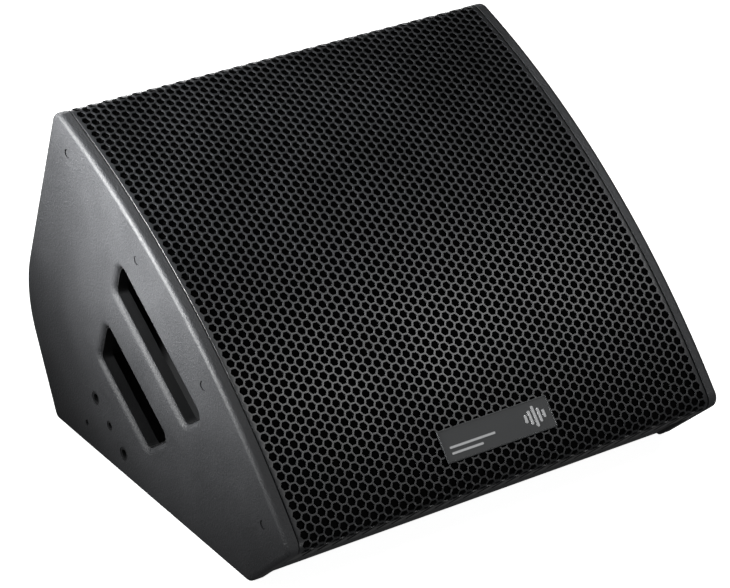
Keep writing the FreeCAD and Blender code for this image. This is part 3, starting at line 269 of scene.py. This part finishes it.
# Smooth background paper, nearly white.
paper = finish("studio_paper", "f6f6f6", "ffffff", 0.9, 4.0, 0.02)

# %% Finishes of what is inside
# Bright plating: a pale metal with a slight mottle.
zinc = finish("zinc_plated_steel", "7d8084", "b4b6ba", 0.35, 1.2, 0.02, metallic=1.0)
# A die casting under a thin coat keeps the grain of its mould.
casting = finish("coated_casting", "1d1e20", "303134", 0.55, 1.4, 0.12, metallic=0.3)
# Pressed powder, fired and ground: a dull dark ceramic.
ferrite = finish("sintered_ferrite", "2a2a2c", "3c3c3f", 0.6, 0.8, 0.05)
# Turned steel, bare and bright.
iron = finish("machined_steel", "8a8c90", "b0b2b6", 0.3, 0.7, 0.02, metallic=1.0)
# Fibres felted on a screen and pressed: matt, with a coarse skin.
pulp = finish("pressed_paper_pulp", "121213", "26262a", 0.85, 1.5, 0.25)
# Woven cotton soaked in resin: brown and matt. Its weave is drawn as a plain fine grain.
cloth = finish("impregnated_cloth", "2a251f", "433b32", 0.85, 0.8, 0.12)
# Thin film and metal foil: smooth and bright.
foil = finish("polyimide_and_foil", "8f8a80", "c6c1b6", 0.35, 2.0, 0.02, metallic=0.9)
# Copper under clear enamel: a warm and glossy metal.
copper = finish("enamelled_copper", "8a4a22", "c27a3e", 0.3, 0.9, 0.15, metallic=0.9)
# Green lacquer over glass cloth.
laminate = finish("circuit_laminate", "12391f", "1c5230", 0.45, 2.5, 0.05)
# Shrunk plastic film, smooth and yellow.
sleeve = finish("capacitor_sleeve", "b09a2e", "cdb548", 0.4, 3.0, 0.02)
# White clay under a thin glaze.
ceramic = finish("glazed_ceramic", "cfccc2", "e8e5dc", 0.35, 2.0, 0.05)
# Matted fibres of many greys, with no gloss at all.
felt = finish("damping_felt", "4c4a46", "8a867e", 0.95, 1.2, 0.6)
# Closed cells: a dull black skin with fine pores.
gasket_foam = finish("closed_cell_foam", "0e0e0e", "1a1a1a", 0.9, 1.0, 0.1, kind="cells")
# Peeled birch, sanded: pale brown. Its figure is drawn as soft blotches with no direction.
birch = finish("birch_plywood", "9a7a4e", "c9a878", 0.6, 3.0, 0.05)
print("finishes:", len(bpy.data.materials))

# %% [markdown]
# ## Finishes on the CAD parts
# The record gives each part a slot, and the table turns a slot into a finish. The rigging
# inserts, the bushes and the cover's screws share their slot with bright parts inside, but
# outside they are black or painted, so they get their own.

# %% Finishes on the CAD parts
FLOOR_GLOW = 0.95

FINISHES = {
    "painted_plywood": paint, "bare_plywood": birch, "grille_steel": powder_coat,
    "acoustic_foam": foam, "badge_metal": plate_metal, "black_steel": black_steel,
    "zinc_steel": zinc, "foot_rubber": rubber, "moulded_plastic": plastic,
    "die_cast": casting, "ferrite": ferrite, "soft_iron": iron, "paper_cone": pulp,
    "treated_cloth": cloth, "former_foil": foil, "copper_wire": copper,
    "titanium_foil": foil, "circuit_board": laminate, "capacitor_film": sleeve,
    "ceramic": ceramic, "damping_felt": felt, "sealing_foam": gasket_foam,
}
for part in frame["record"]["subparts"]:
    slots = nodes[part["node"]].data.materials
    slots.clear()
    slots.append(FINISHES[part["material_slot"]])
for name, own in (("rigging_inserts", black_zinc), ("locating_bushes", black_zinc),
                  ("grille_screws", painted_steel)):
    nodes[name].data.materials[0] = own
glow = paper.node_tree.nodes["Principled BSDF"]
glow.inputs["Emission Color"].default_value = (1, 1, 1, 1)
glow.inputs["Emission Strength"].default_value = FLOOR_GLOW
for sweep in (floor, backdrop):
    sweep.data.materials.append(paper)

# %% [markdown]
# ## The path of the cover
# Seen from the side, the perforated cover follows a large arc, turns round the low nose
# and round the crest, and ends in a flat lip under each. The path is drawn as a curve
# from lip to lip. A flat sheet is then laid along it, as sheet metal is punched flat and
# rolled afterwards. The radii, angles and lengths are those of the CAD cover, in metres.

# %% Path of the cover
ARC_CENTRE = Vector((0.0, 0.45273, -0.50046))
ARC_RADIUS = 0.900
FRONT_ANGLE = math.radians(34.5)
CHORD = 0.4975
BEVEL_ANGLE = math.radians(43.5)
BACK_ANGLE = math.radians(70.917)
NOSE_RADIUS = 0.012
TOP_RADIUS = 0.014
NOSE_LIP = 0.0388
TOP_LIP = 0.0394
HALF_ARC = math.asin(CHORD / 2 / ARC_RADIUS)
ARC_STEPS = 160
ROUND_STEPS = 10


def on_arc(angle):
    """A point of the front arc, by its angle from the middle, positive towards the nose."""
    turn = FRONT_ANGLE + angle
    return ARC_CENTRE + ARC_RADIUS * Vector((0, -math.sin(turn), math.cos(turn)))


def rounding(end_angle, away, radius):
    """The arc that joins the front arc to a straight lip leaving its end along away."""
    corner = on_arc(end_angle)
    inward = Vector((0, -away.z, away.y))
    if inward.dot(ARC_CENTRE - corner) < 0:
        inward = -inward
    # The centre lies on a circle round the arc's centre and on a line beside the lip.
    base = corner + inward * radius - ARC_CENTRE
    reach = ARC_RADIUS - radius
    along = base.dot(away)
    half = math.sqrt(along ** 2 - base.length_squared + reach ** 2)
    step = -along - half
    if step < 0:
        step = -along + half
    centre = ARC_CENTRE + base + away * step
    first = (centre - ARC_CENTRE).normalized() * radius
    last = -inward * radius
    return [centre + first.lerp(last, n / ROUND_STEPS).normalized() * radius
            for n in range(ROUND_STEPS + 1)]


nose_away = Vector((0, math.cos(BEVEL_ANGLE), -math.sin(BEVEL_ANGLE)))
top_away = Vector((0, math.cos(BACK_ANGLE), -math.sin(BACK_ANGLE)))
nose_round = rounding(HALF_ARC, nose_away, NOSE_RADIUS)
top_round = rounding(-HALF_ARC, top_away, TOP_RADIUS)
nose_end = on_arc(HALF_ARC) + nose_away * NOSE_LIP
top_end = on_arc(-HALF_ARC) + top_away * TOP_LIP


def angle_of(point):
    """The angle of a point of the arc from its middle."""
    offset = point - ARC_CENTRE
    return math.atan2(-offset.y, offset.z) - FRONT_ANGLE


first_angle, last_angle = angle_of(top_round[0]), angle_of(nose_round[0])
arc_angle = last_angle - first_angle
arc = [on_arc(first_angle + arc_angle * n / ARC_STEPS) for n in range(1, ARC_STEPS)]
path_points = [top_end] + top_round[::-1] + arc + nose_round + [nose_end]
lengths = [0.0]
for before, after in zip(path_points, path_points[1:]):
    lengths.append(lengths[-1] + (after - before).length)
rounding_end, rounding_start = ROUND_STEPS + 2, -ROUND_STEPS - 3
middle = lengths[rounding_end] - ARC_RADIUS * (first_angle + arc_angle / ARC_STEPS)
print("path:", round(lengths[-1] * 1000, 1), "mm, middle of the arc at", round(middle * 1000, 1))


def draw_path(name, points):
    """A curve object of straight runs through the points."""
    curve = bpy.data.curves.new(name, "CURVE")
    curve.dimensions = "3D"
    spline = curve.splines.new("POLY")
    spline.points.add(len(points) - 1)
    for point, place in zip(spline.points, points):
        point.co = (*place, 1)
        point.tilt = math.radians(90)
    item = bpy.data.objects.new(name, curve)
    scene.collection.objects.link(item)
    return item


cover_path = draw_path("cover_path", path_points)

# %% [markdown]
# ## Tools for modelling
# In edit mode an operator acts on what is selected, and in a script the mouse is replaced
# by a rule: pick() selects by a part's place or normal. The others repeat a shape, apply
# its modifiers, copy a CAD part and lay a flat sheet along the path.

# %% Tools for modelling


def start_piece(name):
    """Names the object that an operator has just made."""
    item = bpy.context.object
    item.name = name
    item.data.name = name
    return item


def copy_part(node, name):
    """A copy of a CAD part under a name of its own, its loose triangles merged."""
    item = bpy.data.objects.new(name, nodes[node].data.copy())
    scene.collection.objects.link(item)
    item.data.name = name
    bpy.ops.object.select_all(action="DESELECT")
    bpy.context.view_layer.objects.active = item
    item.select_set(True)
    pick(item, "VERT", lambda v: True)
    bpy.ops.mesh.remove_doubles(threshold=MERGE)
    bpy.ops.object.mode_set(mode="OBJECT")
    return item


def coat(item, material):
    """Gives the piece that one finish."""
    item.data.materials.clear()
    item.data.materials.append(material)


def pick(item, kind, chosen):
    """In edit mode, selects only the vertices, edges or faces for which chosen() is true."""
    bpy.ops.object.mode_set(mode="EDIT")
    bpy.ops.mesh.select_mode(type=kind)
    bpy.ops.mesh.select_all(action="DESELECT")
    bpy.ops.object.mode_set(mode="OBJECT")
    mesh = item.data
    for part in {"VERT": mesh.vertices, "EDGE": mesh.edges, "FACE": mesh.polygons}[kind]:
        if chosen(part):
            part.select = True
    bpy.ops.object.mode_set(mode="EDIT")


def pick_border(item, chosen):
    """Selects the open edges, which have one face, for whose two ends chosen() is true."""
    used = Counter(key for face in item.data.polygons for key in face.edge_keys)
    points = item.data.vertices
    pick(item, "EDGE", lambda e: used[e.key] == 1 and chosen(
        *[points[v].co for v in e.vertices]))


def repeat(item, count, step):
    """Repeats the object by a constant step, and applies it."""
    array = item.modifiers.new("repeat", "ARRAY")
    array.count = count
    array.use_relative_offset = False
    array.use_constant_offset = True
    array.constant_offset_displace = step
    apply_all(item)


def thicken(item, thickness, side):
    """Gives a sheet its wall, on the side that its faces look to (1) or the other (-1)."""
    wall = item.modifiers.new("thickness", "SOLIDIFY")
    wall.thickness = thickness
    wall.offset = side
    return wall


def apply_all(item):
    """Applies every modifier of the object, in order."""
    bpy.ops.object.select_all(action="DESELECT")
    bpy.context.view_layer.objects.active = item
    item.select_set(True)
    for modifier in list(item.modifiers):
        bpy.ops.object.modifier_apply(modifier=modifier.name)


def along_path(item, path):
    """Lays a flat sheet along the path: its Y becomes the distance, its Z stands off it."""
    curve = item.modifiers.new("roll", "CURVE")
    curve.object = path
    curve.deform_axis = "POS_Y"
    apply_all(item)


# %% [markdown]
# ## The perforated cover
# The real cover is a steel sheet with staggered hexagonal holes, 9.45 mm apart, with a
# plain border at each side. It is modelled as it is made: one hexagon is repeated into a
# flat honeycomb, the border is pulled out of its edge, each cell is inset by half a web
# and its middle is punched out, the sides are folded, and the sheet gets its thickness
# and is rolled along the path.

# %% Perforated cover
PITCH = 0.00945
COLUMN = PITCH * math.sqrt(3) / 2
EVEN_COLUMNS = 28
ROWS = 54
WEB = 0.00155
FIRST_ROW = -0.24347
HALF_WIDTH = 0.237
FLANGE = 0.036
SHEET = 0.0015
CELL_MERGE = 0.0002
HAIR = 0.00001


def honeycomb(name, columns, x, y):
    """Every second column of the honeycomb, its first cell at x and y."""
    bpy.ops.object.select_all(action="DESELECT")
    bpy.ops.mesh.primitive_circle_add(vertices=6, radius=PITCH / math.sqrt(3), fill_type="NGON",
                                      location=(x, y, 0), rotation=(0, 0, math.pi / 2))
    item = start_piece(name)
    bpy.ops.object.transform_apply(location=True, rotation=True, scale=True)
    repeat(item, columns, (2 * COLUMN, 0, 0))
    repeat(item, ROWS, (0, PITCH, 0))
    return item


start_y = middle + FIRST_ROW
cover = honeycomb("perforated_cover", EVEN_COLUMNS + 1, -EVEN_COLUMNS * COLUMN, start_y)
between = honeycomb("between", EVEN_COLUMNS, (1 - EVEN_COLUMNS) * COLUMN, start_y - PITCH / 2)
bpy.ops.object.select_all(action="DESELECT")
cover.select_set(True)
between.select_set(True)
bpy.context.view_layer.objects.active = cover
bpy.ops.object.join()
bpy.ops.object.mode_set(mode="EDIT")
bpy.ops.mesh.select_all(action="SELECT")
bpy.ops.mesh.remove_doubles(threshold=CELL_MERGE)
bpy.ops.object.mode_set(mode="OBJECT")
print("cells:", len(cover.data.polygons))


def pull(item, chosen, axis, value):
    """Extrudes the open edges that are chosen, and flattens their copies to a line."""
    pick_border(item, lambda a, b: chosen((a + b) / 2))
    bpy.ops.mesh.extrude_region_move()
    flat = [1.0, 1.0, 1.0]
    flat[axis] = 0.0
    centre = [0.0, 0.0, 0.0]
    centre[axis] = value
    bpy.ops.transform.resize(value=flat, center_override=centre)
    bpy.ops.object.mode_set(mode="OBJECT")


# %% [markdown]
# ## The cover's plain border
# At each side the border runs out to where the fold starts. At the crest the sheet bends
# while it is still plain, so there it gets a few narrow strips before the long one.

# %% Border of the cover
FOLD = ((0.00060, -0.00016), (0.00044, -0.00044), (0.00016, -0.00060))
FLAT_HALF = HALF_WIDTH - sum(out for out, down in FOLD)
INSIDE = FLAT_HALF - 0.0001
STRIP = 0.0022
STRIPS = 4
side = (EVEN_COLUMNS + 0.2) * COLUMN
top_y = start_y - 1.02 * PITCH
low_y = start_y + (ROWS - 0.46) * PITCH
edge_low = start_y - 0.05 * PITCH
edge_high = start_y + (ROWS - 0.95) * PITCH
for hand in (-1, 1):
    pull(cover, lambda p: p.x * hand > side, 0, hand * FLAT_HALF)
pull(cover, lambda p: p.y < edge_low and abs(p.x) < INSIDE, 1, top_y)
for n in range(STRIPS):
    pull(cover, lambda p: abs(p.y - (top_y - STRIP * n)) < HAIR, 1, top_y - STRIP * (n + 1))
pull(cover, lambda p: abs(p.y - (top_y - STRIP * STRIPS)) < HAIR, 1, 0.0)
pull(cover, lambda p: p.y > edge_high and abs(p.x) < INSIDE, 1, low_y)
pull(cover, lambda p: abs(p.y - low_y) < HAIR, 1, lengths[-1])
print("with its border:", len(cover.data.polygons), "faces",
      [round(v, 4) for v in cover.dimensions])

# %% [markdown]
# ## Punch, fold and roll
# The holes are punched by an inset and a delete. The edge of each side is turned down in
# three small steps, which gives the fold its radius, and then goes down between the two
# roundings to where the screws hold it.

# %% Punch the holes, fold the sides and roll the sheet
FOLD_MARGIN = 0.004

pick(cover, "FACE", lambda f: len(f.vertices) == 6)
bpy.ops.mesh.inset(thickness=WEB / 2, use_individual=True)
bpy.ops.mesh.delete(type="FACE")
bpy.ops.object.mode_set(mode="OBJECT")

fold_start = lengths[rounding_end] + FOLD_MARGIN
fold_end = lengths[rounding_start] - FOLD_MARGIN
for hand in (-1, 1):
    pick_border(cover, lambda a, b: all(
        abs(p.x - hand * FLAT_HALF) < HAIR for p in (a, b)))
    for out, down in FOLD:
        bpy.ops.mesh.extrude_region_move(TRANSFORM_OT_translate={"value": (hand * out, 0, down)})
    bpy.ops.object.mode_set(mode="OBJECT")
    pick_border(cover, lambda a, b: all(
        abs(p.x - hand * HALF_WIDTH) < HAIR and fold_start < p.y < fold_end for p in (a, b)))
    bpy.ops.mesh.extrude_region_move(TRANSFORM_OT_translate={"value": (0, 0, -FLANGE)})
    bpy.ops.object.mode_set(mode="OBJECT")

pick(cover, "FACE", lambda f: True)
bpy.ops.mesh.normals_make_consistent(inside=False)
bpy.ops.object.mode_set(mode="OBJECT")
if sum(f.normal.z * f.area for f in cover.data.polygons) < 0:
    cover.data.flip_normals()

thicken(cover, SHEET, -1)
apply_all(cover)
along_path(cover, cover_path)
bpy.ops.object.shade_smooth_by_angle(angle=math.radians(30))
coat(cover, powder_coat)
print("cover:", len(cover.data.polygons), "faces, box", [round(v, 4) for v in cover.dimensions])
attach(cover, "cabinet")
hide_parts("grille")

# %% [markdown]
# ## The foam behind the cover
# A sheet of open-cell foam lines the cover, so that the drivers and the ports don't show
# through the holes. Foam is never quite flat, so a fine grid is pushed in and out a little
# before it gets its wall, and is then laid along the same path, just behind the steel.

# %% Foam lining
FOAM_GAP = 0.0018
FOAM_THICK = 0.006
FOAM_HALF = 0.2344
FOAM_OVERLAP = 0.003
FOAM_RIPPLE, FOAM_DEPTH = 0.012, 0.0006
FOAM_GRID = (110, 130)


def uneven(item, name, grain, depth):
    """Pushes the surface in and out by a soft random pattern."""
    pattern = bpy.data.textures.new(name, "CLOUDS")
    pattern.noise_scale = grain
    ripple = item.modifiers.new("uneven", "DISPLACE")
    ripple.texture = pattern
    ripple.texture_coords = "LOCAL"
    ripple.strength = depth
    ripple.mid_level = 0.5


foam_start, foam_end = top_y - FOAM_OVERLAP, low_y + FOAM_OVERLAP
bpy.ops.object.select_all(action="DESELECT")
bpy.ops.mesh.primitive_grid_add(x_subdivisions=FOAM_GRID[0], y_subdivisions=FOAM_GRID[1],
                                size=1, location=(0, (foam_start + foam_end) / 2, -FOAM_GAP))
lining = start_piece("foam_lining")
lining.scale = (2 * FOAM_HALF, foam_end - foam_start, 1)
bpy.ops.object.transform_apply(location=True, rotation=True, scale=True)
uneven(lining, "foam_ripple", FOAM_RIPPLE, FOAM_DEPTH)
thicken(lining, FOAM_THICK, -1).use_even_offset = True
apply_all(lining)
along_path(lining, cover_path)
bpy.ops.object.shade_smooth_by_angle(angle=math.radians(40))
coat(lining, foam)
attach(lining, "cabinet")
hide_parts("grille_foam")
print("foam lining:", len(lining.data.polygons), "faces, box",
      [round(v, 4) for v in lining.dimensions])

# %% [markdown]
# ## The badge
# A small aluminium plate with a raised rim. Where a maker puts a name, this one has two
# plain lines and a row of five bars, printed in satin silver. It is modelled lying flat,
# where every edge is easy to reach, and then turned to the slope of the cover.

# %% Badge
BADGE_LONG, BADGE_HIGH, BADGE_THICK = 0.126, 0.032, 0.0018
BADGE_CORNER = 0.0012
BADGE_BEVEL = 0.0002
BADGE_RIM, BADGE_RIM_SLOPE, BADGE_RIM_HEIGHT = 0.0007, 0.00025, 0.00035
BADGE_FOOT = (0.0, -0.21191, 0.10644)
BADGE_TURN = math.radians(47.6)
PRINT_SINK = 0.0004
PRINT_THICK = 0.00025
LINE_HIGH, LINE_CORNER = 0.0022, 0.0010
BAR_WIDE, BAR_CORNER, BAR_STEP, FIRST_BAR = 0.0030, 0.0014, 0.0052, 0.0330
BAR_HEIGHTS = (0.008, 0.014, 0.021, 0.014, 0.008)


def plate(name, long, high, place, thick, corner, material):
    """A flat plate with rounded corners, its underside at place."""
    bpy.ops.object.select_all(action="DESELECT")
    bpy.ops.mesh.primitive_plane_add(size=1, location=place)
    item = start_piece(name)
    item.scale = (long, high, 1)
    bpy.ops.object.transform_apply(location=True, rotation=True, scale=True)
    pick(item, "VERT", lambda v: True)
    bpy.ops.mesh.bevel(offset=corner, segments=5, affect="VERTICES")
    bpy.ops.object.mode_set(mode="OBJECT")
    pick(item, "FACE", lambda f: True)
    bpy.ops.mesh.extrude_region_move(TRANSFORM_OT_translate={"value": (0, 0, thick)})
    bpy.ops.mesh.select_all(action="SELECT")
    bpy.ops.mesh.normals_make_consistent(inside=False)
    bpy.ops.object.mode_set(mode="OBJECT")
    item.data.materials.append(material)
    return item


badge = plate("badge_plate", BADGE_LONG, BADGE_HIGH, (0, 0, 0), BADGE_THICK, BADGE_CORNER,
              plate_metal)
pick(badge, "FACE", lambda f: f.normal.z > 0.9)
bpy.ops.mesh.bevel(offset=BADGE_BEVEL, segments=2)
bpy.ops.object.mode_set(mode="OBJECT")
pick(badge, "FACE", lambda f: f.normal.z > 0.99 and f.area > 1e-4)
bpy.ops.mesh.inset(thickness=BADGE_RIM)
bpy.ops.mesh.inset(thickness=BADGE_RIM_SLOPE)
bpy.ops.transform.translate(value=(0, 0, -BADGE_RIM_HEIGHT))
bpy.ops.object.mode_set(mode="OBJECT")

print_foot = BADGE_THICK - PRINT_SINK
marks = [plate(name, long, LINE_HIGH, (x, y, print_foot), PRINT_THICK, LINE_CORNER, silver_print)
         for name, long, x, y in (("line_1", 0.052, -0.030, -0.0022),
                                  ("line_2", 0.036, -0.038, -0.0080))]
for n, high in enumerate(BAR_HEIGHTS):
    marks.append(plate("bar_" + str(n), BAR_WIDE, high, (FIRST_BAR + BAR_STEP * n, 0, print_foot),
                       PRINT_THICK, BAR_CORNER, silver_print))
bpy.ops.object.select_all(action="DESELECT")
for mark in marks:
    mark.select_set(True)
badge.select_set(True)
bpy.context.view_layer.objects.active = badge
bpy.ops.object.join()
badge.rotation_euler = (BADGE_TURN, 0, 0)
badge.location = BADGE_FOOT
bpy.ops.object.transform_apply(location=True, rotation=True, scale=True)
bpy.ops.object.shade_smooth_by_angle(angle=math.radians(35))
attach(badge, "cabinet")
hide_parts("badge")
print("badge:", len(badge.data.polygons), "faces, box", [round(v, 4) for v in badge.dimensions])

# %% [markdown]
# ## The wadding
# Two pads of felt wadding damp the sound inside. Each starts as a copy of the simple CAD
# block, is remeshed into small even faces, rounded by smoothing, and made uneven as felt
# is. Cloth simulation would be the way for a stuffed cushion, but felt has no cover.

# %% Wadding
FELT_MESH = 0.004
FELT_RIPPLE, FELT_DEPTH = 0.02, 0.0016


def pad(node, name):
    """A felt pad in place of a plain CAD block."""
    item = copy_part(node, name)
    grain = item.modifiers.new("remesh", "REMESH")
    grain.mode = "VOXEL"
    grain.voxel_size = FELT_MESH
    apply_all(item)
    rounder = item.modifiers.new("round", "SMOOTH")
    rounder.factor = 0.5
    rounder.iterations = 12
    uneven(item, name + "_fibres", FELT_RIPPLE, FELT_DEPTH)
    apply_all(item)
    bpy.ops.object.shade_smooth()
    coat(item, felt)
    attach(item, "cabinet")
    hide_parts(node)
    print(name, len(item.data.polygons), "faces, box", [round(v, 4) for v in item.dimensions])


pad("floor_wadding", "floor_pad")
pad("back_wadding", "back_pad")

# %% [markdown]
# ## The suspensions of the cone
# The cloth surround and the spider hold the cone, and give as it moves: their outer edge
# stays with the basket while their inner edge goes with the cone. A copy of each CAD ring
# is cut into twelve sectors with bisect. The small dome moves only 0.3 mm, so its
# suspension is left as the CAD part has it.

# %% Suspensions
SECTORS = 12
DRIVER_AXIS = Vector((0, -math.sin(FRONT_ANGLE), math.cos(FRONT_ANGLE)))
SIDEWAYS = Vector((1, 0, 0))
UPWARDS = DRIVER_AXIS.cross(SIDEWAYS)


def sectors(node):
    """Copies the ring in sectors, which are cut apart by bisect.
    """
    low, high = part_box(node)
    centre = (Vector(low) + Vector(high)) / 2
    material = nodes[node].data.materials[0]
    for n in range(SECTORS):
        turn = math.tau * (n + 0.5) / SECTORS
        item = copy_part(node, node + "_" + str(n + 1))
        bpy.ops.object.mode_set(mode="EDIT")
        for side_turn, keep in ((turn - math.pi / SECTORS, 1), (turn + math.pi / SECTORS, -1)):
            across = keep * (UPWARDS * math.cos(side_turn) - SIDEWAYS * math.sin(side_turn))
            bpy.ops.mesh.select_all(action="SELECT")
            bpy.ops.mesh.bisect(plane_co=centre, plane_no=across, use_fill=True,
                                clear_inner=True)
        bpy.ops.object.mode_set(mode="OBJECT")
        bpy.ops.object.shade_smooth_by_angle(angle=math.radians(40))
        coat(item, material)
        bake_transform(item)
        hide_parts(node)
    print(node, SECTORS, "sectors, last one", len(item.data.polygons), "faces")


sectors("woofer_surround")
sectors("woofer_spider")

# %% [markdown]
# ## Collars of the hand slots, dark as painted shade
# A thin collar of the cups' black plastic lines the sawn edge of the plywood. It is painted
# shade: the dark plastic stands in for the shade that falls inside the slots. The CAD parts
# have no such collar. Its outline is the slot's, so it is taken from the panel itself: the
# straight walls of the slots are cut out of a copy, drawn out a little further, and given a wall.

# %% Slot collars of painted shade
SLOT_INSIDE, SLOT_OUTSIDE = 0.235, 0.243
SLOT_WALL = 0.005
COLLAR_LIP = 0.0032
COLLAR_WALL = 0.0009
LOOSE = 0.0001


def slot_wall(mesh, face):
    """Whether a face of the side panel is part of a slot's straight wall."""
    depths = [abs(mesh.vertices[v].co.x) for v in face.vertices]
    return abs(face.normal.x) < 0.1 and all(
        min(abs(d - SLOT_INSIDE), abs(d - SLOT_OUTSIDE)) < LOOSE for d in depths) and (
        max(depths) - min(depths) > SLOT_WALL)


def slot_shade_collar(node, name, hand):
    """The two dark collars of one side, which paint the shade in its slots. hand is -1 for the
    left side and 1 for the right.
    """
    item = copy_part(node, name)
    pick(item, "FACE", lambda f: not slot_wall(item.data, f))
    bpy.ops.mesh.delete(type="FACE")
    bpy.ops.object.mode_set(mode="OBJECT")
    pick_border(item, lambda a, b: min(abs(a.x), abs(b.x)) > SLOT_OUTSIDE - LOOSE)
    bpy.ops.mesh.extrude_region_move(
        TRANSFORM_OT_translate={"value": (hand * COLLAR_LIP, 0, 0)})
    bpy.ops.object.mode_set(mode="OBJECT")
    thicken(item, COLLAR_WALL, 1).use_even_offset = True
    apply_all(item)
    bpy.ops.object.shade_smooth_by_angle(angle=math.radians(35))
    # The black plastic of the collars is painted shade on the slot walls.
    coat(item, plastic)
    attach(item, "cabinet")
    print(name, len(item.data.polygons), "faces, box", [round(v, 4) for v in item.dimensions])


slot_shade_collar("side_panel_left", "slot_shade_collar_left", -1)
slot_shade_collar("side_panel_right", "slot_shade_collar_right", 1)

# %% [markdown]
# ## Hand-in
# The path has done its work and goes.

# %% Remove the path
bpy.data.objects.remove(cover_path)
